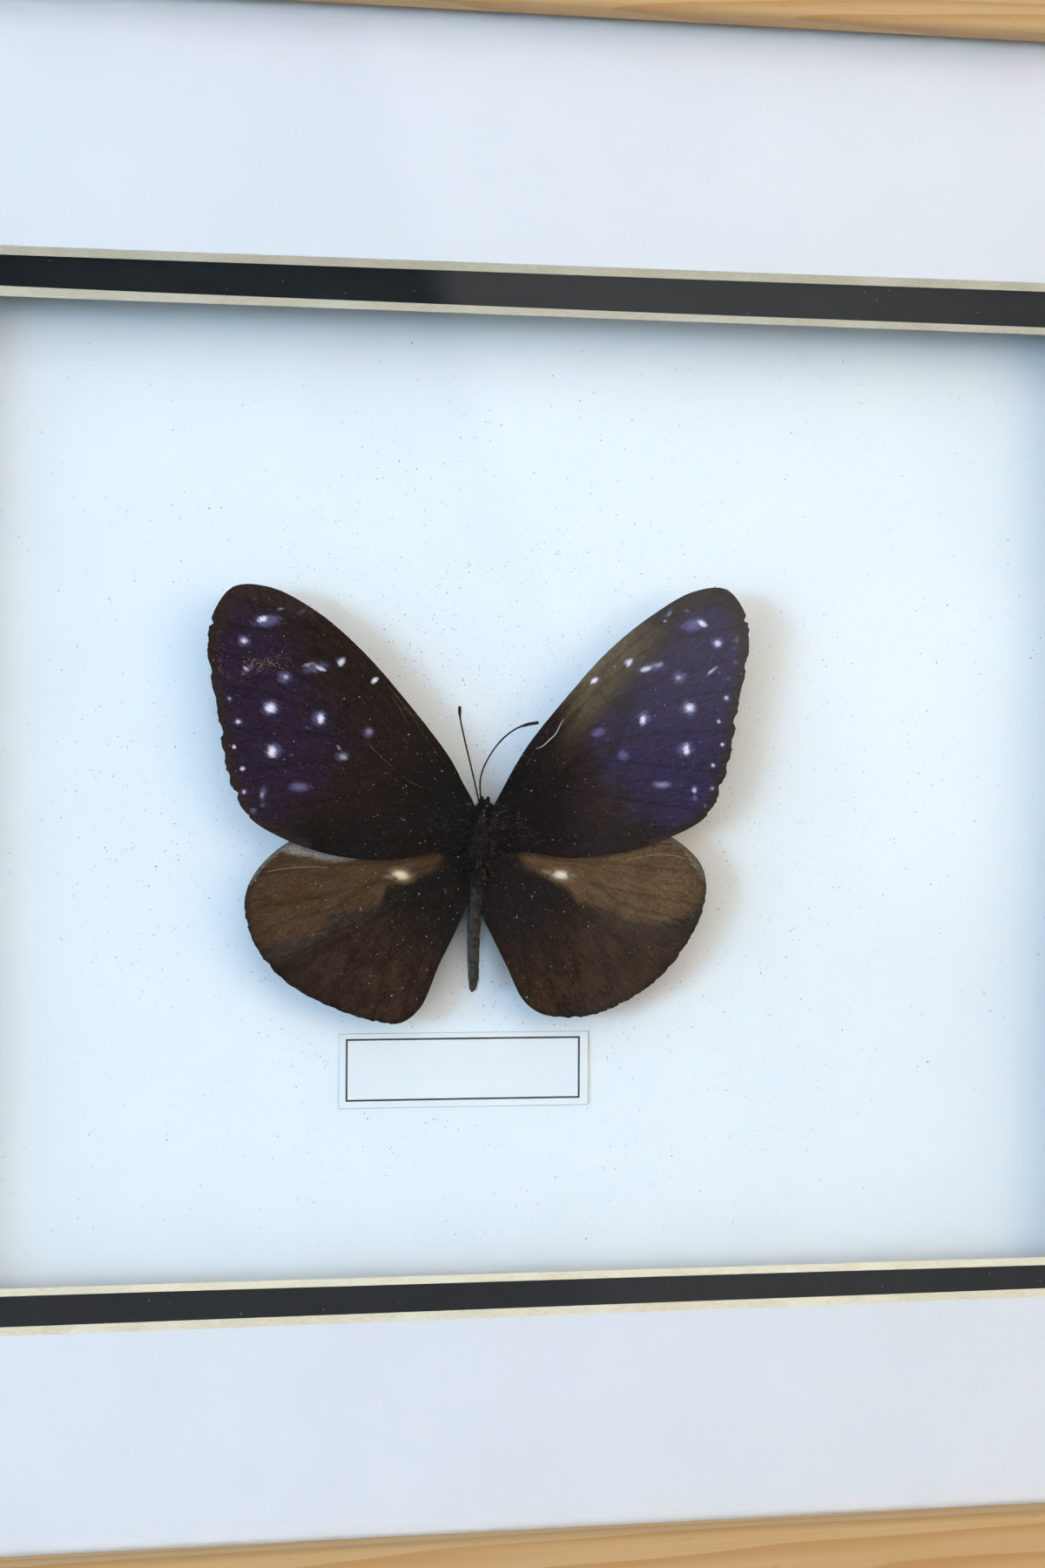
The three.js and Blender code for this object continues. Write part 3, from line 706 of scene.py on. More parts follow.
# Each kind of wing's scalloped margin: first and last outline point, number of waves and depth
MARGINS = {"forewing": (7, 12, 8, 0.3), "hindwing": (6, 11, 13, 0.1)}
# White spots: reach, height, half length, half width, turn in degrees and strength
CORES = {
    "left_forewing": [
        (29.5, 29.6, 0.85, 0.45, -20, 1), (31.9, 26.7, 0.5, 0.45, 0, 0.75), (31.7, 23, 0.6, 0.25, 35, 0.6),
        (26.4, 21.9, 0.4, 0.4, 0, 0.5), (21.7, 23.1, 0.9, 0.35, 20, 0.75), (19, 24, 0.75, 0.45, -55, 0.8),
        (14.5, 21.6, 0.7, 0.38, -40, 1), (28.4, 17.8, 0.85, 0.8, 0, 1), (21.7, 16.4, 0.55, 0.85, 10, 1),
        (28.2, 12, 0.65, 0.9, 0, 1), (29.5, 6.2, 0.3, 0.55, 0, 0.4), (19.3, 12.5, 0.25, 0.5, -30, 0.25),
        (33.8, 19, 0.26, 0.26, 0, 0.5), (32.7, 15.9, 0.38, 0.32, 0, 0.8), (33.2, 12.6, 0.32, 0.32, 0, 0.9),
        (32.1, 9.7, 0.38, 0.32, 0, 0.9), (31.9, 6.6, 0.32, 0.27, 0, 0.8), (23.4, 23.6, 0.9, 0.35, -15, 0.3),
        (18.7, 11.3, 0.7, 0.5, 0, 0.3), (15.2, 14.7, 0.5, 0.5, 0, 0.2), (27, 31, 0.5, 0.22, 0, 0.25),
    ],
    "right_forewing": [
        (30.5, 29.7, 0.75, 0.5, -25, 1), (32.6, 27, 0.55, 0.5, 0, 0.8), (31.8, 23.2, 1, 0.22, 38, 0.6),
        (27.1, 22.3, 0.45, 0.4, 0, 0.4), (22.7, 23.4, 0.9, 0.4, 15, 0.8), (20.2, 24.3, 0.75, 0.5, 50, 0.85),
        (15.5, 21.8, 0.75, 0.36, 35, 1), (28.7, 18.1, 0.85, 0.75, 0, 1), (22.2, 16.5, 0.5, 0.85, -10, 1),
        (28.3, 12.4, 0.55, 0.9, 0, 1), (29.4, 6.8, 0.35, 0.5, 0, 0.6), (25.3, 30, 0.3, 0.2, 0, 0.5),
        (33.9, 19.5, 0.38, 0.34, 0, 0.7), (32.8, 16.3, 0.32, 0.3, 0, 0.7), (33.3, 13.1, 0.3, 0.3, 0, 0.85),
        (32, 10.3, 0.3, 0.3, 0, 0.75), (31.9, 7.1, 0.26, 0.26, 0, 0.6), (24.3, 24, 1, 0.35, 15, 0.3),
        (24.9, 7.6, 1.3, 0.45, 0, 0.15), (25.9, 31, 0.7, 0.2, 48, 0.25),
    ],
}
# Violet halos and bars in the same terms
HALOS = {
    "left_forewing": [
        (28.9, 29.4, 1.99, 0.9, -6, 0.95), (31.9, 26.7, 0.9, 0.81, 0, 1), (31.4, 22.9, 1.04, 0.43, -30, 0.6),
        (26.6, 21.9, 1.04, 0.95, 0, 0.8), (22.4, 23.2, 1.9, 0.71, -15, 0.8), (19.2, 24, 0.76, 0.57, 55, 0.5),
        (28.4, 17.8, 1.23, 1.14, 0, 1), (21.9, 16.5, 1.09, 1.09, 0, 0.95), (28, 12.1, 1.23, 1.09, 0, 0.9),
        (15.3, 14.6, 0.85, 0.76, -30, 0.75), (18.9, 11.4, 0.95, 0.76, -10, 0.6), (24.5, 7.3, 1.52, 0.68, 0, 1),
        (29.4, 6.4, 0.57, 1.04, 10, 0.75), (29.4, 4.9, 0.43, 0.38, 0, 0.6), (33.8, 19, 0.55, 0.5, 0, 0.4),
        (32.7, 15.9, 0.7, 0.6, 0, 0.64), (32.1, 9.7, 0.6, 0.5, 0, 0.48), (31.9, 6.6, 0.55, 0.5, 0, 0.56),
        (30.7, 4.1, 0.47, 0.47, 0, 0.7), (34, 21.9, 0.45, 0.4, 0, 0.2), (35.1, 24.1, 0.38, 0.33, 0, 0.15),
        (34.8, 26.1, 0.33, 0.28, 0, 0.2), (35.2, 27.8, 0.38, 0.28, 0, 0.2), (27.1, 31, 0.66, 0.33, 0, 0.3),
        (24.2, 30.7, 0.85, 0.28, -35, 0.35),
    ],
    "right_forewing": [
        (29.4, 29.6, 1.99, 0.95, 14, 0.95), (32.6, 27, 0.95, 0.85, 0, 1), (31.8, 23.1, 1.33, 0.38, 38, 0.6),
        (27.3, 22.3, 1.14, 1, 0, 0.8), (23.4, 23.7, 2.18, 0.71, 12, 0.8), (20.2, 24.3, 0.85, 0.62, 50, 0.5),
        (28.6, 18.1, 1.33, 1.14, 0, 1), (22.4, 16.7, 1.04, 1.04, 0, 0.95), (28.2, 12.5, 1.33, 1.14, 0, 0.9),
        (16, 14.7, 1.09, 0.71, 30, 0.9), (19.5, 11.6, 0.85, 0.76, 0, 0.9), (24.9, 7.6, 1.52, 0.62, 0, 0.9),
        (29.4, 6.9, 0.57, 0.66, 0, 0.9), (29.5, 5.8, 0.43, 0.43, 0, 0.8), (33.9, 19.5, 0.7, 0.6, 0, 0.64),
        (32.8, 16.3, 0.5, 0.5, 0, 0.48), (33.3, 13.1, 0.55, 0.5, 0, 0.48), (32, 10.3, 0.5, 0.45, 0, 0.4),
        (31.9, 7.1, 0.5, 0.5, 0, 0.64), (30.9, 4.7, 0.33, 0.33, 0, 0.8), (34.1, 22.2, 0.5, 0.4, 0, 0.4),
        (35.2, 24.4, 0.43, 0.38, 0, 0.5), (35, 26.4, 0.38, 0.33, 0, 0.4), (25.8, 31.1, 1.04, 0.33, 48, 0.4),
        (28.3, 31.4, 0.57, 0.28, 0, 0.6), (25.3, 30, 0.47, 0.28, 0, 0.4),
    ],
}
# Cream marks on the hindwings, in the same terms
BRANDS = {
    "left_hindwing": [(10.9, -4.6, 1.35, 0.75, 12, 0.95), (12.3, -4.85, 1.2, 0.4, 8, 0.15)],
    "right_hindwing": [
        (11, -4.7, 1.35, 0.7, -8, 1), (9.3, -4.3, 1.2, 0.4, -5, 0.15), (12.4, -4.75, 1.2, 0.4, -5, 0.12),
    ],
}
# Worn brown patches in the same terms
DAMAGE = {
    "left_forewing": [(29.6, 23.4, 2.6, 1.5, -10, 0.85), (27.4, 24.8, 1.4, 0.9, 0, 0.6),
                      (35, 23.4, 0.8, 1.2, 0, 0.6)],
    "right_forewing": [(35.3, 27.6, 0.55, 0.45, 0, 1.1), (16.5, 19, 2.5, 1.5, 40, 0.2)],
}
# Dark stripes on the forewings: places as reach and height, half width and strength
STRIPES = {
    "left_forewing": [([(24, 20.2), (19.6, 15.4), (15, 10.6)], 0.8, 0.35)],
    "right_forewing": [([(21.2, 20), (19.5, 16), (16.5, 10.1), (11.7, 7.7)], 1.1, 0.9)],
}
# Pale spots on the head: place across and along, and size
HEAD_SPOTS = [(-0.05, 4.1, 0.13), (0.1, 4.7, 0.1), (-0.1, 3.4, 0.09), (-0.75, 3, 0.08), (0.8, 3.1, 0.08)]
# Rows of pale beads: wing, number of beads and places as reach and height
BEADS = [
    ("left_forewing", 60, [(16.6, 15.2), (14.5, 12.2), (12.6, 10.4), (9.8, 8.1), (8.2, 7.2)]),
    ("left_forewing", 16, [(13.4, 9.4), (12.4, 8.6), (11, 7.9)]),
    ("left_forewing", 40, [(12.6, 20.6), (9.6, 16.8), (7.4, 13.6), (6, 11.6)]),
    ("left_forewing", 14, [(33, 13.4), (31.6, 13.8)]),
    ("right_forewing", 26, [(21, 4.2), (18.4, 3.6), (16.2, 4.4)]),
    ("right_forewing", 50, [(12.2, 19), (9.6, 16), (7.6, 13), (6.2, 10.4)]),
]
# Worn patches of tan specks: wing, number, reach, height, spread along and spread up
WORN = [
    ("left_forewing", 150, 29.2, 23.7, 1.35, 0.5), ("left_forewing", 26, 27.3, 24.9, 0.8, 0.5),
    ("left_forewing", 26, 34.9, 23.4, 0.5, 0.9), ("left_forewing", 16, 31.8, 22.6, 0.9, 0.3),
    ("right_forewing", 60, 35.2, 27.5, 0.27, 0.3), ("right_forewing", 16, 13.6, 18.4, 2.4, 1.6),
]
# Veins from the root outwards
VEINS = {
    "forewing": [
        [(2.6, 6), (10.2, 16.4), (18, 24.3), (25.5, 30.2), (33.5, 32.6)],
        [(2.6, 5), (10, 14), (16, 20.5), (24, 26.6), (35.6, 29.3)],
        [(16, 20.5), (18.2, 18), (19.6, 15.6), (19.2, 13.8)],
        [(18, 18.4), (26, 22.6), (36.2, 25.2)],
        [(19.6, 15.6), (27, 19.2), (35.2, 21)],
        [(2.6, 3.6), (9.8, 8.1), (14.5, 12), (19.2, 13.8), (26.5, 14.8), (34.2, 15)],
        [(14, 11.4), (22, 10.6), (32.8, 9.3)],
        [(9, 7.6), (17, 6.2), (30.6, 4)],
        [(2.6, 2.2), (10, 0.4), (22, 0.4), (28.4, 1.8)],
    ],
    "hindwing": [
        [(2.6, -1.2), (10, -2.6), (20, -3.3), (29.6, -4.4)],
        [(3, -2.2), (10, -4.2), (16, -6), (24, -7.8), (31, -9)],
        [(16, -6), (19.7, -8.8), (26.4, -10.6), (29.8, -12.6)],
        [(3, -3), (10, -7.4), (16, -11.4), (22, -15), (26.4, -18)],
        [(19, -8.4), (17, -12)],
        [(13, -9.6), (17.4, -15.6), (20.4, -21.8)],
        [(8.6, -6.6), (12, -14), (14.6, -23.6)],
        [(5, -5), (8.4, -14), (10.6, -23.4)],
        [(3, -4.4), (5, -11), (7.4, -19)],
    ],
}
# Where the pale upper part of each hindwing ends, and where its grey rim ends
PALE_EDGE = {
    "left_hindwing": [
        (2, -2.2), (4.8, -3.4), (9, -4.6), (12.7, -5.9), (13.9, -8.6), (20.1, -9.9), (22.3, -12.4),
        (27.6, -13.7), (32, -15.2),
    ],
    "right_hindwing": [
        (2, -2.4), (5.9, -3.6), (8.9, -4.5), (11.8, -6.4), (13.3, -8), (18.2, -9.6), (19.9, -10.8),
        (22.2, -11.2), (25.6, -11.4), (28.8, -10.3), (32, -9),
    ],
}
RIM_EDGE = {
    "left_hindwing": [(12, 0), (16, -2.4), (20, -3), (24, -2.1), (27, -1.6), (29, -3.2), (31, -6)],
    "right_hindwing": [(12, 0), (20, -0.9), (23, -0.9), (26, -0.4), (28, -1.6), (31, -6)],
}
# The distance between points on a wing
WING_SPACING = 0.22
WING_EDGE_THICKNESS = 0.12
VEIN_STEPS = 24


def wing_side(name):
    """-1 for the left wings and 1 for the right ones."""
    return 1 if name.startswith("right") else -1


def wing_kind(name):
    """Forewing or hindwing."""
    return name.split("_")[1]


def wing_layer(name):
    """0 for the forewings in front and 1 for the hindwings behind them."""
    return 1 if wing_kind(name) == "hindwing" else 0


def wing_front(reach, layer):
    return BOARD_Y - WING_STANDOFF + layer * WING_LAYER_STEP - WING_LIFT * (reach / WING_REACH) ** 2


def on_wing(name, reach, height, out=0.12):
    """Places a little in front of a wing."""
    x = SPECIMEN_X + wing_side(name) * reach
    return np.stack([x, wing_front(reach, wing_layer(name)) - out, SPECIMEN_Z + height], axis=-1)


def wing_outline(name, spacing):
    """The wing's edge at fine steps, with a scalloped margin and a fine ragged fringe."""
    first, last, waves, depth = MARGINS[wing_kind(name)]
    control = np.array(WINGS[name], float)
    centre = control.mean(0)
    at = spline(control, closed=True)
    rng = np.random.default_rng(len(name) * 7 + wing_layer(name))
    edge = []
    for i in range(len(control)):
        length = np.linalg.norm(control[(i + 1) % len(control)] - control[i])
        steps = max(3, round(length / spacing))
        for k in range(steps):
            point = at(i + k / steps)
            inward = (centre - point) / np.linalg.norm(centre - point)
            ragged = 0.012 * rng.standard_normal()
            if first <= i < last:
                share = (i + k / steps - first) / (last - first)
                dip = 0.5 + 0.5 * math.cos(2 * math.pi * waves * share + 0.9 * math.sin(9 * share))
                uneven = 0.75 + 0.5 * math.sin(23 * share + waves)
                tooth = abs(math.sin(math.pi * 3.1 * waves * share + 0.7)) ** 3
                fringe = 0.4 * tooth * (0.6 + 0.4 * math.sin(31 * share))
                ragged += depth * (1.3 * uneven * dip ** 1.7 + fringe)
                ragged += 0.035 * rng.standard_normal()
            edge.append(point + inward * ragged)
    return np.array(edge)


def inside(points, polygon):
    """Which points lie in a polygon."""
    result = np.zeros(len(points), bool)
    for (x1, y1), (x2, y2) in zip(polygon, np.roll(polygon, -1, axis=0)):
        crosses = (y1 > points[:, 1]) != (y2 > points[:, 1])
        if y1 != y2:
            result ^= crosses & (points[:, 0] < (x2 - x1) * (points[:, 1] - y1) / (y2 - y1) + x1)
    return result


def line_distance(points, line):
    """Distance from each point to a line through several points."""
    nearest = np.full(len(points), 1e9)
    for a, b in zip(line[:-1], line[1:]):
        along = b - a
        share = np.clip(((points - a) @ along) / max(along @ along, 1e-12), 0, 1)
        nearest = np.minimum(nearest, np.linalg.norm(points - a - share[:, None] * along, axis=1))
    return nearest


def spot_fields(points, spots):
    """How deep each point lies in its nearest spot, 1 at the centre and 0 at the edge, and its strength."""
    depth = np.full(len(points), -1.0)
    strength = np.zeros(len(points))
    for reach, height, long, wide, turn, power in spots:
        c, s = math.cos(math.radians(turn)), math.sin(math.radians(turn))
        across, up = points[:, 0] - reach, points[:, 1] - height
        here = 1 - np.hypot((across * c + up * s) / long, (up * c - across * s) / wide)
        deeper = here > depth
        depth[deeper] = here[deeper]
        strength[deeper] = power
    return depth, strength


def forewing_markings(name, flat, edge, vein):
    """The forewing's spots and zones at each point, with its dark stripes added to the veins."""
    reach, height = flat.T
    right = wing_side(name) == 1
    damage, damage_power = spot_fields(flat, DAMAGE[name])
    # Where the violet zone of painted sheen begins, by height: nearer the body on the right forewing, where
    # the light catches more of it.
    starts = (24, 19, 15, 12.5, 13, 19, 21) if right else (28, 22, 18, 16, 16, 20, 22)
    inner = np.interp(height, (0, 4, 8, 12, 16, 22, 30), starts)
    from_costa = line_distance(flat, np.array(WINGS[name][:6], float))
    near_costa = smooth_step(6.5, 1.5, from_costa) * smooth_step(32, 24, reach)
    violet_sheen = smooth_step(inner - 4, inner + 12, reach) * (1 - 0.8 * near_costa)
    width = 1.4 + (1.8 if right else 3.4) * smooth_step(25, 34, height)
    margin = smooth_step(width * 1.3, width * 0.3, line_distance(flat, edge[edge[:, 0] > 24]))
    olive = smooth_step(6.5, 1.2, from_costa) * smooth_step(9.5, 15, reach) * smooth_step(28, 19, reach)
    olive *= 0.95 if right else 0.2375
    low_band = (0.45 if right else 0.85) * smooth_step(5.5, 0.5, height) * smooth_step(32, 24, reach)
    basal = np.maximum(smooth_step(15, 5, np.hypot(reach - 2, height - 3)), low_band)
    for line, wide, power in STRIPES[name]:
        from_stripe = line_distance(flat, sampled(line, VEIN_STEPS))
        vein = np.maximum(vein, power * smooth_step(wide, 0.2 * wide, from_stripe))
    spots = [*spot_fields(flat, CORES[name]), *spot_fields(flat, HALOS[name])]
    zones = [violet_sheen, margin, np.clip(damage, 0, 1) * damage_power, olive]
    return spots, zones, vein, basal


def hindwing_markings(name, flat, from_edge, vein):
    """The hindwing's mark and zones at each point."""
    reach, height = flat.T
    pale_edge, rim_edge = np.array(PALE_EDGE[name]), np.array(RIM_EDGE[name])
    above = height - np.interp(reach, *pale_edge.T)
    pale = smooth_step(-1.7, 1.5, above) * smooth_step(3.6, 7.5, reach)
    pale *= 1 - 0.4 * smooth_step(6, 0.5, from_edge) * smooth_step(20, 26, reach)
    band_strength = 0.25 if wing_side(name) == 1 else 0.45
    band = np.exp(-((above + 0.6) / 1.5) ** 2) * smooth_step(13, 19, reach) * band_strength
    rim = smooth_step(-0.7, 1, height - np.interp(reach, *rim_edge.T)) * smooth_step(14, 18, reach)
    margin = smooth_step(1, 0.1, from_edge)
    basal = smooth_step(19, 8, np.hypot(reach - 2, height + 2)) * (1 - pale)
    none = np.zeros(len(flat))
    return [*spot_fields(flat, BRANDS[name]), none, none], [pale, rim, margin, band], vein, basal


def wing_fields(name, flat, edge, from_edge, from_vein):
    """The wing's markings at each point, for its material to draw."""
    reach, height = flat.T
    vein = smooth_step(0.34, 0.08, from_vein)
    if wing_layer(name) == 0:
        spots, zones, vein, basal = forewing_markings(name, flat, edge, vein)
    else:
        spots, zones, vein, basal = hindwing_markings(name, flat, from_edge, vein)
    lines = [vein, basal, np.zeros(len(flat))]
    side = np.full(len(flat), 5 * wing_side(name))
    flow = [np.hypot(reach, height), np.arctan2(height - 2, reach) * 22, side]
    fields = {"spots": spots, "zones": zones, "lines": lines, "flow": flow}
    return {key: np.stack(values, 1) for key, values in fields.items()}


def wing_relief(name, reach, height, from_edge, from_vein):
    """Height of the wing's surface towards the glass: raised veins, shallow folds and a soft wave."""
    wave = 0.05 * np.sin(0.35 * reach + 0.21 * height + len(name))
    ridge = 0.06 * np.exp(-(from_vein / 0.16) ** 2)
    fold = 0.035 * np.cos(np.clip(from_vein, 0, 2.2) * 1.4)
    return (wave + fold) * smooth_step(0, 2, from_edge) + ridge


def wing_sheet(edge, spacing):
    """Points and faces of a flat wing, with an even grid inside its edge."""
    low, high = edge.min(0), edge.max(0)
    grid = np.array([
        (x + (spacing / 2 if row % 2 else 0), z)
        for row, z in enumerate(np.arange(low[1], high[1], spacing * 0.866))
        for x in np.arange(low[0], high[0], spacing)
    ])
    grid = grid[inside(grid, edge)]
    gaps = np.min([np.hypot(*(grid - place).T) for place in edge], axis=0)
    loose = [Vector(p) for p in np.vstack([edge, grid[gaps > 0.55 * spacing]])]
    borders = [(i, (i + 1) % len(edge)) for i in range(len(edge))]
    flat, _, faces = geometry.delaunay_2d_cdt(loose, borders, [], 0, 1e-6, False)[:3]
    flat = np.array([tuple(p) for p in flat])
    middles = np.array([flat[list(face)].mean(0) for face in faces])
    return flat, [list(face) for face, kept in zip(faces, inside(middles, edge)) if kept]


def add_wing(name, look):
    edge = wing_outline(name, WING_SPACING)
    flat, front = wing_sheet(edge, WING_SPACING)
    from_edge = line_distance(flat, np.vstack([edge, edge[:1]]))
    kind = wing_kind(name)
    from_vein = np.min([line_distance(flat, sampled(vein, VEIN_STEPS)) for vein in VEINS[kind]], axis=0)
    fields = wing_fields(name, flat, edge, from_edge, from_vein)
    surface = on_wing(name, *flat.T, wing_relief(name, *flat.T, from_edge, from_vein))
    thick = WING_EDGE_THICKNESS * (1 + smooth_step(0, 3, from_edge))
    points = np.concatenate([surface, surface + thick[:, None] * [0, 1, 0]])
    back, rim = slab_faces(front, len(flat))
    both = {key: np.concatenate([values, values]) for key, values in fields.items()}
    add_piece(name + "_scales", kind, name, points, front + back + rim, [look], sharp=50, fields=both)


def add_wings():
    add_wing("left_forewing", forewing_look(
        "left_forewing_scales", base=(0.0182, 0.0108, 0.0086), basal=(0.0098, 0.0084, 0.0078),
        violet_sheen=(0.0235, 0.0138, 0.0275), margin=(0.029, 0.018, 0.0165), olive=(0.026, 0.016, 0.01),
        halo=(0.125, 0.105, 0.21), core=(0.8, 0.8, 0.9)))
    # The right forewing's violet is lighter and bluer than the left's: more painted sheen where the light
    # catches that wing.
    add_wing("right_forewing", forewing_look(
        "right_forewing_scales", base=(0.0205, 0.0125, 0.0115), basal=(0.0088, 0.0075, 0.0072),
        violet_sheen=(0.027, 0.0195, 0.056), margin=(0.027, 0.018, 0.0165), olive=(0.105, 0.078, 0.042),
        halo=(0.12, 0.103, 0.235), core=(0.8, 0.8, 0.9)))
    add_wing("left_hindwing", hindwing_look(
        "left_hindwing_scales", brown=(0.04, 0.0225, 0.0152), dark=(0.0115, 0.0098, 0.0085),
        pale=(0.074, 0.043, 0.023), rim=(0.22, 0.195, 0.17), brand=(0.78, 0.62, 0.41)))
    add_wing("right_hindwing", hindwing_look(
        "right_hindwing_scales", brown=(0.041, 0.0235, 0.0145), dark=(0.0135, 0.0108, 0.0108),
        pale=(0.112, 0.067, 0.034), rim=(0.17, 0.13, 0.09), brand=(0.78, 0.7, 0.54)))


# Body and antennae

# The trunk's sections: place along it, half width, half depth and shift to the right
BODY_STATIONS = [
    (5.4, 0.45, 0.4, 0), (4.9, 0.9, 0.85, 0.05), (4.2, 1.15, 1.1, 0.05), (3.5, 1.1, 1.15, 0),
    (2.6, 1.65, 1.9, 0), (1.2, 1.95, 2.3, 0), (-0.8, 1.9, 2.3, 0), (-2.6, 1.5, 1.9, 0),
    (-4.2, 1.15, 1.4, -0.05), (-7, 1, 1.25, -0.15), (-9.8, 0.94, 1.15, -0.22), (-12.7, 0.86, 0.98, -0.12),
    (-16.6, 0.78, 0.85, 0.15), (-19.2, 0.64, 0.66, 0.35), (-20.3, 0.36, 0.38, 0.3),
]
HEAD_TIP = (0, 0, 5.7)
TAIL_TIP = (0.28, 0, -20.7)
ABDOMEN_START = -4.2
SEGMENT_LENGTH = 2.15
BODY_SIDES = 28
BODY_PLACE = (SPECIMEN_X + 0.2, BOARD_Y - 3.9, SPECIMEN_Z)
BODY_LEAN = 4.5
BODY_STEPS = 120
# Each eye's and palp's place to the right, back and along, and its half sizes
EYE = ((0.85, -0.2, 4.1), (0.58, 0.74, 0.72))
PALP = ((0.42, 0.25, 5.4), (0.34, 0.34, 0.66))
# The antennae as places to the right, out from the board and up
ANTENNA_STEPS = 150
ANTENNAE = {
    "left_antenna": [(-0.3, 4.7, 5.3), (-1.25, 5, 9.3), (-2.4, 5.2, 14), (-2.95, 5.2, 16.7), (-3, 5.1, 18.2)],
    "right_antenna": [
        (-0.1, 5, 5.2), (-0.2, 5.7, 8.6), (0.9, 5.8, 11.3), (2.7, 5.9, 13.7), (4.5, 6, 15.1), (6, 6, 15.7),
        (7.7, 6, 16),
    ],
}


def body_placed(points):
    return turned(points, BODY_LEAN) + BODY_PLACE


def body_loops(path):
    """The trunk's loops, with the abdomen pinched between its segments."""
    angles = 2 * math.pi * np.arange(BODY_SIDES) / BODY_SIDES
    loops = []
    for along, width, depth, shift in path:
        pinch = 1
        if along < ABDOMEN_START:
            ring = ((ABDOMEN_START - along) / SEGMENT_LENGTH) % 1
            pinch = 1.03 - 0.1 * math.exp(-(min(ring, 1 - ring) / 0.13) ** 2)
        x = shift + width * pinch * np.cos(angles)
        y = depth * pinch * np.sin(angles)
        loops.append(np.stack([x, y, np.full(BODY_SIDES, along)], 1))
    return loops


def ball(centre, radii, rings=12, sides=18):
    points = [(0, 0, -1)]
    for ring in range(1, rings):
        polar = math.pi * ring / rings
        for i in range(sides):
            turn = 2 * math.pi * i / sides
            x, y = math.sin(polar) * math.cos(turn), math.sin(polar) * math.sin(turn)
            points.append((x, y, -math.cos(polar)))
    points.append((0, 0, 1))
    return np.array(points) * radii + centre, pointed_faces(rings - 1, sides)


def add_body():
    loops = body_loops(sampled(BODY_STATIONS, BODY_STEPS))
    trunk = np.concatenate([[HEAD_TIP], *loops, [TAIL_TIP]])
    shell = [(trunk, pointed_faces(len(loops), BODY_SIDES))]
    shell += [ball(PALP[0] * np.array([side, 1, 1]), PALP[1], 10, 12) for side in (-1, 1)]
    eyes = [ball(EYE[0] * np.array([side, 1, 1]), EYE[1]) for side in (-1, 1)]
    points, faces, owners = merged([shell, eyes])
    shell_look = insect_look(
        "insect_shell", (0.008, 0.0072, 0.0078), (0.036, 0.027, 0.025), bloom=(0.064, 0.058, 0.049))
    add_piece("insect_body", "insect_body", "body", body_placed(points), faces, [shell_look, eye_look()],
              face_looks=owners, sharp=60)


def add_antennae():
    look = insect_look("antenna_shell", (0.014, 0.01, 0.009), (0.05, 0.03, 0.02), rough=0.5, relief=0.01)
    for name, places in ANTENNAE.items():
        line = sampled([(SPECIMEN_X + x, BOARD_Y - out, SPECIMEN_Z + z) for x, out, z in places],
                       ANTENNA_STEPS)
        share = np.linspace(0, 1, ANTENNA_STEPS)
        radii = 0.115 + 0.11 * smooth_step(0.7, 0.86, share) + 0.006 * np.sin(share * 150)
        radii *= np.sqrt(np.clip((1 - share) / 0.015, 0.15, 1))
        add_piece(name + "_shaft", "insect_body", name, *tube(line, radii, 8), [look], sharp=60)


# Hairs, fibres and dust

# Loose fibres and pale lines on the wings, by look: wing, radius and places as reach and height
FIBRES = {
    "white_fibre": [
        ("right_forewing", 0.05, [
            (7.5, 12.5), (8.3, 12.8), (9.1, 13.5), (10.2, 14.6), (10.7, 15.6), (11.2, 16.5),
        ]),
    ],
    "tan_fibre": [
        ("right_forewing", 0.022, [(11.1, 18.4), (11.7, 19.1), (12.5, 20), (13.3, 20.7)]),
        ("right_forewing", 0.02, [(10.5, 15), (11.6, 16.6), (12.5, 18), (13, 19)]),
        ("left_forewing", 0.026, [(12.7, 20.8), (11.5, 19.4), (10.3, 18), (9.1, 16.4), (8.6, 15.5)]),
        ("left_forewing", 0.02, [(12.2, 19.4), (11.2, 18), (10.7, 17), (10, 15.7)]),
        ("left_forewing", 0.018, [(15.9, 13.5), (14.5, 12.2), (12.6, 10.4)]),
    ],
    "pale_vein": [
        ("left_hindwing", 0.03, [(28.9, -4.1), (27, -3.7), (24.9, -3.5), (22.6, -3.4), (20.6, -3.5)]),
        ("right_hindwing", 0.03, [(20.1, -2.7), (22.2, -2.3), (24.2, -2), (26.4, -2.1), (28.5, -2.6)]),
    ],
}
FIBRE_COLOURS = {
    "white_fibre": [(0.62, 0.62, 0.62), (0.8, 0.8, 0.8)],
    "tan_fibre": [(0.11, 0.085, 0.05), (0.2, 0.16, 0.1)],
    "pale_vein": [(0.26, 0.24, 0.21), (0.4, 0.37, 0.33)],
}
HAIR_SEED = 5
THORAX_HAIRS = 2600
ABDOMEN_HAIRS = 500
WING_ROOT_HAIRS = 700
COARSE_HAIR = 0.022
FINE_HAIR = 0.016
HAIR_ROOT_SHARE = 0.98
DUST_SEED = 17
WING_FLAKES = 2600
BODY_FLAKES = 110
BOARD_FLAKES = 12000
# Half the board's dusty width, the heights between which its dust lies, and the label's place, which has none
DUST_REACH = 78
DUST_LOW, DUST_HIGH = 55, 179
CLEAR_X, CLEAR_Z = (-25, 10.5), (73.5, 85)


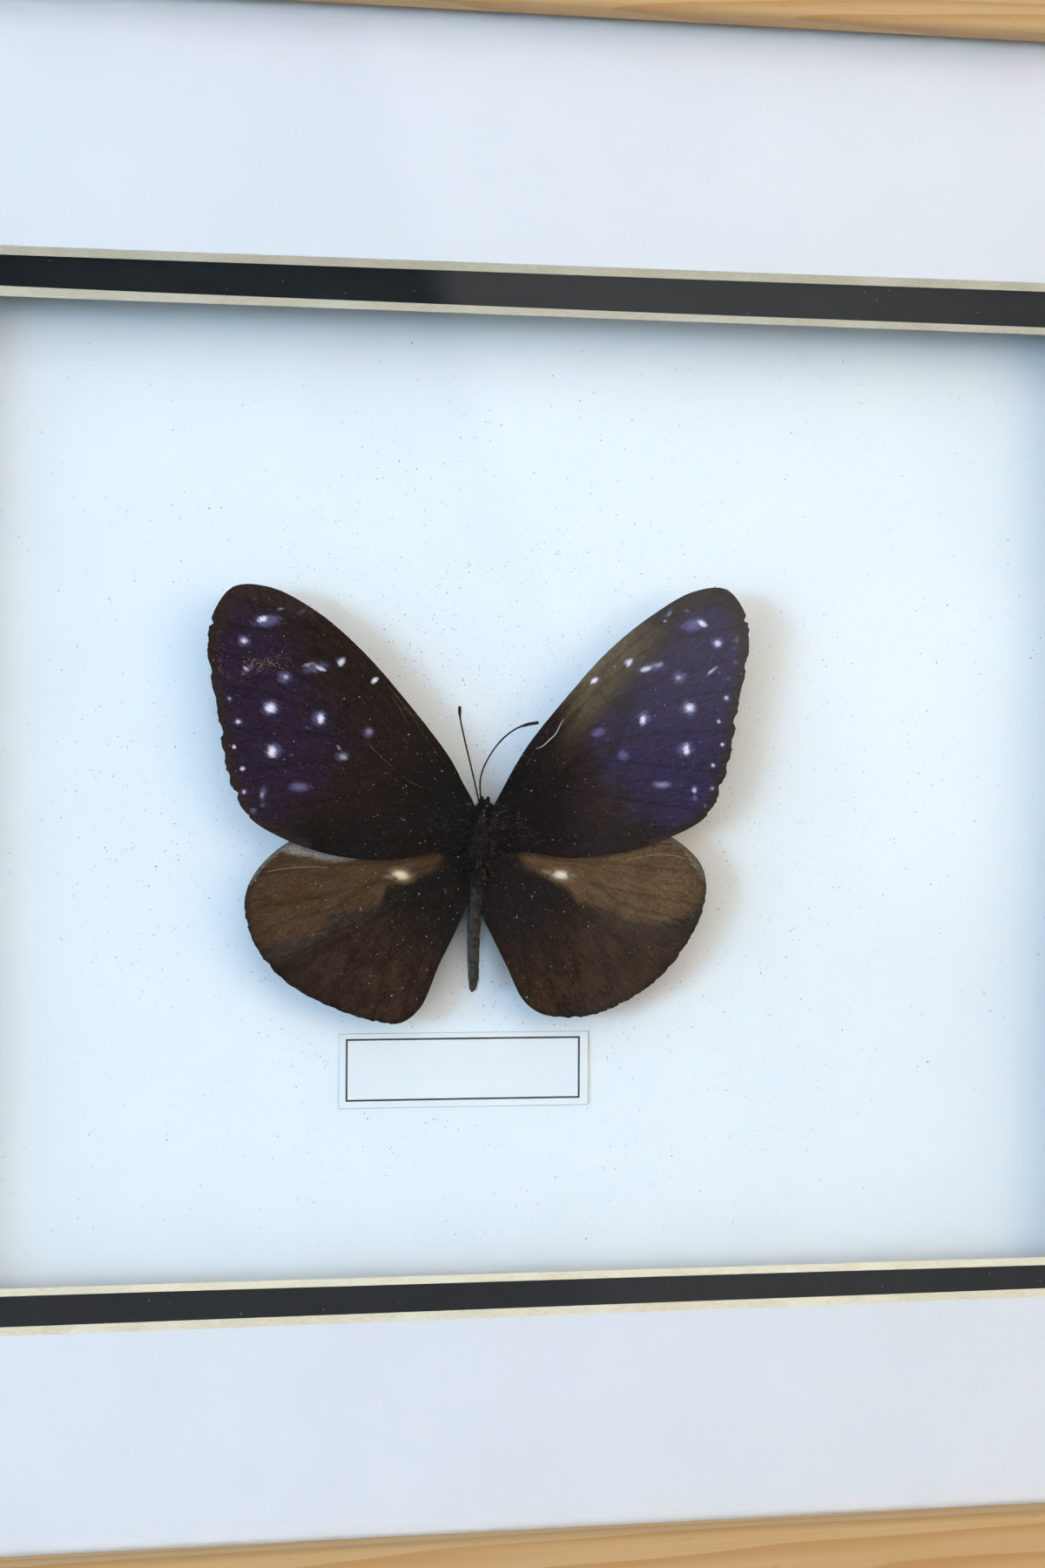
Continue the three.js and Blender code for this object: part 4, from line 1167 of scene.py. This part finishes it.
def hair(root, direction, length, bend, radius):
    """One tapering hair with three sides."""
    direction = direction / np.linalg.norm(direction)
    side = np.cross(direction, [0.31, 0.9, 0.29])
    side /= np.linalg.norm(side)
    other = np.cross(direction, side)
    points = []
    for share, width in ((0, 1), (0.5, 0.75), (0.85, 0.4)):
        centre = root + direction * length * share + np.asarray(bend) * length * share ** 2
        for i in range(3):
            turn = 2 * math.pi * i / 3
            points.append(centre + radius * width * (side * math.cos(turn) + other * math.sin(turn)))
    points.append(root + direction * length + np.asarray(bend) * length)
    return np.array(points), loop_faces(3, 3) + [[2, 1, 0], [6, 7, 9], [7, 8, 9], [8, 6, 9]]


def trunk_root(rng, path, low, high, front_share=0):
    """A random place on the trunk's skin between two shares of its length, the way out and the place along."""
    along, width, depth, shift = path[int(rng.uniform(low, high) * len(path))]
    towards_glass = front_share and rng.random() < front_share
    angle = rng.uniform(math.pi if towards_glass else 0, 2 * math.pi)
    out = np.array([math.cos(angle), math.sin(angle), 0])
    root = [shift + HAIR_ROOT_SHARE * width * out[0], HAIR_ROOT_SHARE * depth * out[1], along]
    return root, out, along


def add_hairs():
    rng = np.random.default_rng(HAIR_SEED)
    path = sampled(BODY_STATIONS, BODY_STEPS)
    dark, pale = [], []

    def keep(made, pale_share):
        (pale if rng.random() < pale_share else dark).append(made)

    for _ in range(THORAX_HAIRS):
        root, out, along = trunk_root(rng, path, 0.03, 0.6, front_share=0.7)
        direction = out * rng.uniform(0.4, 1.3) + [0, 0, -rng.uniform(0, 1.2)] + rng.normal(0, 0.3, 3)
        length = rng.uniform(0.6, 2.3) * (0.45 if along > 3.5 else 1)
        points, faces = hair(root, direction, length, rng.normal(0, 0.12, 3), COARSE_HAIR)
        keep((body_placed(points), faces), 0.12)
    for _ in range(ABDOMEN_HAIRS):
        root, out, _ = trunk_root(rng, path, 0.55, 0.98)
        direction = out * 0.35 + [0, 0, -1] + rng.normal(0, 0.15, 3)
        points, faces = hair(root, direction, rng.uniform(0.25, 0.6), rng.normal(0, 0.08, 3), FINE_HAIR)
        keep((body_placed(points), faces), 0.4)
    for _ in range(WING_ROOT_HAIRS):
        name = "right_forewing" if rng.random() < 0.5 else "left_forewing"
        reach = 1.4 + 6.5 * rng.random() ** 2.2
        height = rng.uniform(-3, 5.5) * (1 - 0.05 * reach)
        direction = np.array([wing_side(name), -0.1, rng.normal(0.1 * height, 0.6)])
        length = rng.uniform(0.4, 1.3)
        bend = [0, 0.1, rng.normal(0, 0.15)]
        keep(hair(on_wing(name, reach, height), direction, length, bend, FINE_HAIR), 0.2)
    add_scattered("body_hairs", "insect_body", [dark, pale], [
        hair_look("dark_hair", (0.007, 0.006, 0.0065), (0.026, 0.019, 0.017)),
        hair_look("pale_hair", (0.045, 0.04, 0.04), (0.15, 0.14, 0.15)),
    ])


def fibre(wing, radius, places):
    line = on_wing(wing, *sampled(places, 26).T, out=0.13)
    taper = np.sqrt(np.clip(np.sin(np.linspace(0.12, math.pi - 0.12, len(line))), 0.1, 1))
    return tube(line, radius * taper, 5)


def add_fibres():
    groups = [[fibre(*settings) for settings in fibres] for fibres in FIBRES.values()]
    looks = [hair_look(name, *FIBRE_COLOURS[name]) for name in FIBRES]
    add_scattered("wing_fibres", "forewing", groups, looks)


def flake(centre, size, rng):
    """A small irregular chip lying on a surface that faces the glass."""
    corners = 5
    turns = np.sort(rng.uniform(0, 2 * math.pi, corners))
    radii = size * rng.uniform(0.6, 1.2, corners)
    ring = np.stack([radii * np.cos(turns), rng.normal(0, size * 0.1, corners), radii * np.sin(turns)], 1)
    front, back = centre + [0, -0.4 * size, 0], centre + [0, 0.1 * size, 0]
    points = np.concatenate([ring + centre, [front, back]])
    faces = [[i, (i + 1) % corners, corners] for i in range(corners)]
    faces += [[(i + 1) % corners, i, corners + 1] for i in range(corners)]
    return points, faces


def wing_flakes(rng):
    """Pale and tan flakes: loose dust on the wings and body, rows of beads and worn patches."""
    pale, tan = [], []
    outlines = {name: wing_outline(name, 1) for name in WINGS}
    for name, edge in outlines.items():
        places = rng.uniform(edge.min(0), edge.max(0), (WING_FLAKES, 2))
        places = places[inside(places, edge)]
        nearness = np.exp(-np.hypot(*places.T) / 12)
        places = places[rng.random(len(places)) < 0.12 + 0.6 * nearness]
        if wing_layer(name) == 1:
            places = places[~inside(places, outlines[name.replace("hind", "fore")])]
        for reach, height in places:
            made = flake(on_wing(name, reach, height), 0.035 + 0.1 * rng.random() ** 5, rng)
            (pale if rng.random() < 0.4 else tan).append(made)
    for _ in range(BODY_FLAKES):
        across, along = rng.normal(0, 0.8), rng.uniform(-6, 4)
        front = BODY_PLACE[1] - 2.3 * math.exp(-0.25 * across ** 2)
        place = np.array([SPECIMEN_X + 0.35 + across, front, SPECIMEN_Z + along])
        (pale if rng.random() < 0.5 else tan).append(flake(place, rng.uniform(0.03, 0.09), rng))
    for across, along, size in HEAD_SPOTS:
        place = body_placed([(across, -1.15, along)])[0]
        pale += [flake(place + rng.normal(0, 0.05, 3), size, rng) for _ in range(3)]
    for name, count, line in BEADS:
        for reach, height in sampled(line, count) + rng.normal(0, 0.06, (count, 2)):
            if rng.random() < 0.7:
                tan.append(flake(on_wing(name, reach, height), rng.uniform(0.03, 0.085), rng))
    for name, count, reach, height, along, up in WORN:
        for spread in rng.normal(0, 1, (count, 2)):
            place = on_wing(name, reach + along * spread[0], height + up * spread[1])
            tan.append(flake(place, rng.uniform(0.03, 0.11), rng))
    return pale, tan


def board_flakes(rng):
    """Grey specks on the board, denser round the specimen, and none on the label."""
    flakes = []
    for _ in range(BOARD_FLAKES):
        if rng.random() < 0.7:
            x, z = SPECIMEN_X + rng.normal(0, 30), SPECIMEN_Z + 3 + rng.normal(0, 27)
        else:
            x, z = rng.uniform(-DUST_REACH, DUST_REACH), rng.uniform(DUST_LOW, DUST_HIGH)
        on_board = abs(x) <= DUST_REACH and DUST_LOW < z < DUST_HIGH
        on_label = CLEAR_X[0] < x < CLEAR_X[1] and CLEAR_Z[0] < z < CLEAR_Z[1]
        if on_board and not on_label:
            flakes.append(flake(np.array([x, BOARD_Y - 0.02, z]), 0.05 + 0.09 * rng.random() ** 3, rng))
    return flakes


def add_dust():
    rng = np.random.default_rng(DUST_SEED)
    add_scattered("wing_dust", "forewing", wing_flakes(rng), [
        hair_look("pale_dust", (0.16, 0.16, 0.18), (0.62, 0.62, 0.62)),
        hair_look("tan_dust", (0.07, 0.042, 0.028), (0.32, 0.215, 0.135)),
    ])
    dark = hair_look("dark_dust", (0.2, 0.19, 0.21), (0.6, 0.59, 0.63))
    add_scattered("board_dust", "insect_body", [board_flakes(rng)], [dark])


# Label

LABEL_X, LABEL_Z = (-24.6, 9.8), (74.1, 84.2)
BORDER_X, BORDER_Z = (-23.7, 8.7), (75, 83.55)
BORDER_LINE = 0.26
LABEL_TURN = 0.25
LABEL_FLARE = 0.07
LABEL_FRONT_Y = BOARD_Y - 0.16
LABEL_THICKNESS = 0.14
LABEL_CURL = 0.12
LABEL_BOW = 0.03


def label_cuts(span, border, inset, count):
    """Where the label's grid is cut: at its ends, evenly between them and along the border's lines."""
    evenly = np.linspace(span[0] + inset, span[1] - inset, count).round(3)
    return sorted({*span, *evenly.tolist(), *border, border[0] + BORDER_LINE, border[1] - BORDER_LINE})


def in_border(x, z, inset):
    return all(low + inset < place < high - inset for place, (low, high) in ((x, BORDER_X), (z, BORDER_Z)))


def flared(place, span):
    """A place on the label's back: its cut edge slopes outwards a little from the front."""
    return place + LABEL_FLARE * ((place == span[1]) - (place == span[0]))


def add_label():
    """The paper, a little out of square and curled, with a printed border, nothing inside it, and a painted
    shadow line on its cut rim.
    """
    across = label_cuts(LABEL_X, BORDER_X, inset=1.5, count=22)
    up = label_cuts(LABEL_Z, BORDER_Z, inset=1.6, count=7)
    middle_x, middle_z = sum(LABEL_X) / 2, sum(LABEL_Z) / 2
    front = []
    for z in up:
        for x in across:
            curl = LABEL_CURL * ((x - middle_x) / 17) ** 4 + LABEL_BOW * ((z - middle_z) / 5) ** 2
            front.append((x, LABEL_FRONT_Y - curl, z))
    back = [(flared(x, LABEL_X), y + LABEL_THICKNESS, flared(z, LABEL_Z)) for x, y, z in front]
    cells, printed = [], []
    columns = len(across)
    for j in range(len(up) - 1):
        for i in range(columns - 1):
            a = j * columns + i
            cells.append([a, a + 1, a + columns + 1, a + columns])
            x, z = (across[i] + across[i + 1]) / 2, (up[j] + up[j + 1]) / 2
            printed.append(int(in_border(x, z, 0) and not in_border(x, z, BORDER_LINE)))
    behind, rim = slab_faces(cells, len(front))
    points = turned(front + back, LABEL_TURN, (middle_x, middle_z))
    # The rim faces take the grey of the painted shadow line.
    face_looks = printed + [0] * len(behind) + [2] * len(rim)
    add_piece("label_paper", "paper", "label", points, cells + behind + rim,
              [label_paper, label_ink, label_edge_shade], face_looks=face_looks, sharp=60)


# Camera, lights and stage

# The lamps: place, width and height, power and colour
LAMPS = {
    "warm_light": ((0.65, -0.57, 0.2), (0.36, 0.36), 1.43, (1, 0.69, 0.282)),
    "cool_light": ((-1.06, -0.815, 0.165), (0.44, 0.31), 8.17, (0.47, 0.729, 1)),
    "top_light": ((0, -0.75, 1), (0.9, 0.9), 1.26, (0.52, 1, 0.993)),
    "fill_light": ((0, -1.5, 0.74), (2.6, 1.3), 5.95, (1, 0.787, 0.783)),
    "back_light": ((-0.6, 1.2, 0.9), (0.8, 0.8), 3, (1, 0.98, 0.95)),
}
LAMP_AIM = Vector((0, 0, 0.12))
FLOOR_REACH = 4000
# The card's left, right, lower and upper edges and its place in front of the frame
CARD = (-1000, 1500, -700, 1300)
CARD_Y = -1040


def add_camera():
    lens = bpy.data.cameras.new("camera")
    lens.lens = 50
    lens.sensor_width = 36
    lens.clip_start = 0.01
    camera = bpy.data.objects.new("camera", lens)
    camera.location = CAMERA_PLACE
    turn = (90 - CAMERA_PITCH, -CAMERA_ROLL, -CAMERA_YAW)
    camera.rotation_euler = Euler([math.radians(a) for a in turn])
    bpy.context.scene.collection.objects.link(camera)
    bpy.context.scene.camera = camera


def add_lights():
    for name, (place, size, power, colour) in LAMPS.items():
        lamp = bpy.data.lights.new(name, "AREA")
        lamp.shape = "ELLIPSE"
        lamp.size, lamp.size_y = size
        lamp.energy = power
        lamp.color = colour
        lamp.cycles.use_multiple_importance_sampling = False
        light = bpy.data.objects.new(name, lamp)
        light.location = place
        light.rotation_mode = "QUATERNION"
        light.rotation_quaternion = (LAMP_AIM - Vector(place)).to_track_quat("-Z", "Y")
        bpy.context.scene.collection.objects.link(light)
    world = bpy.data.worlds.new("studio")
    world.use_nodes = True
    world.node_tree.nodes["Background"].inputs["Color"].default_value = (0.8, 0.9, 1, 1)
    world.node_tree.nodes["Background"].inputs["Strength"].default_value = 0.06
    world.cycles.sampling_method = "NONE"
    bpy.context.scene.world = world


def room_look():
    """What the glass mirrors: a pale wall lit to the right of a slanting edge, a window on it, and a table."""
    look = Look("glow", Base_Color=(0, 0, 0), Specular_IOR_Level=0, Emission_Color=(1, 1, 0.97))
    across, _, up = look.split(look.place())
    slant = look.times(look.math("MAXIMUM", look.minus(up, 150), 0), 0.33)
    lit = look.step(look.plus(across, slant), 181, 214)
    to_window = look.join(look.minus(across, 440), look.minus(up, 145), 0)
    from_window = look.add("ShaderNodeVectorMath", to_window, operation="LENGTH").outputs["Value"]
    window = look.step(from_window, 150, 40, 0, 0.5)
    wall = look.times(look.step(up, 112, 210, 0.09, 0.41), look.step(across, 330, 500, 1, 0.6))
    table = look.step(up, -60, -170, 0, 0.19)
    look.set("Emission Strength", look.plus(look.times(lit, look.plus(window, wall)), table))
    look.material.cycles.emission_sampling = "NONE"
    return look.material


def add_stage():
    """The floor, and an upright card before the frame that the glass mirrors and the camera doesn't see."""
    reach = FLOOR_REACH
    corners = [(-reach, -reach, 0), (reach, -reach, 0), (reach, reach, 0), (-reach, reach, 0)]
    floor = add_object("floor", corners, [[0, 1, 2, 3]], [floor_look()])
    floor.visible_glossy = False
    floor.visible_transmission = False
    left, right, low, high = CARD
    corners = [(left, CARD_Y, low), (right, CARD_Y, low), (right, CARD_Y, high), (left, CARD_Y, high)]
    card = add_object("room_card", corners, [[0, 1, 2, 3]], [room_look()])
    card.visible_camera = False
    card.visible_diffuse = False
    card.visible_shadow = False


bpy.context.scene.view_settings.view_transform = "Standard"
bpy.context.scene.view_settings.look = "None"
add_camera()
add_lights()
add_stage()

CAD_LOOKS = {
    "glass": glass, "spacer_top": foam, "spacer_bottom": foam, "spacer_left": foam, "spacer_right": foam,
    "mount_board": board_face, "mounting_pad": foam, "back_panel": hardboard, "hanger": steel,
    "hanger_rivet_left": steel, "hanger_rivet_right": steel,
    **{f"tab_{i}": steel for i in range(1, 9)},
}
for node, look in CAD_LOOKS.items():
    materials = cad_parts[node].data.materials
    materials.clear()
    materials.append(look)

add_rails()
add_mats()
add_wings()
add_body()
add_antennae()
add_hairs()
add_fibres()
add_dust()
add_label()
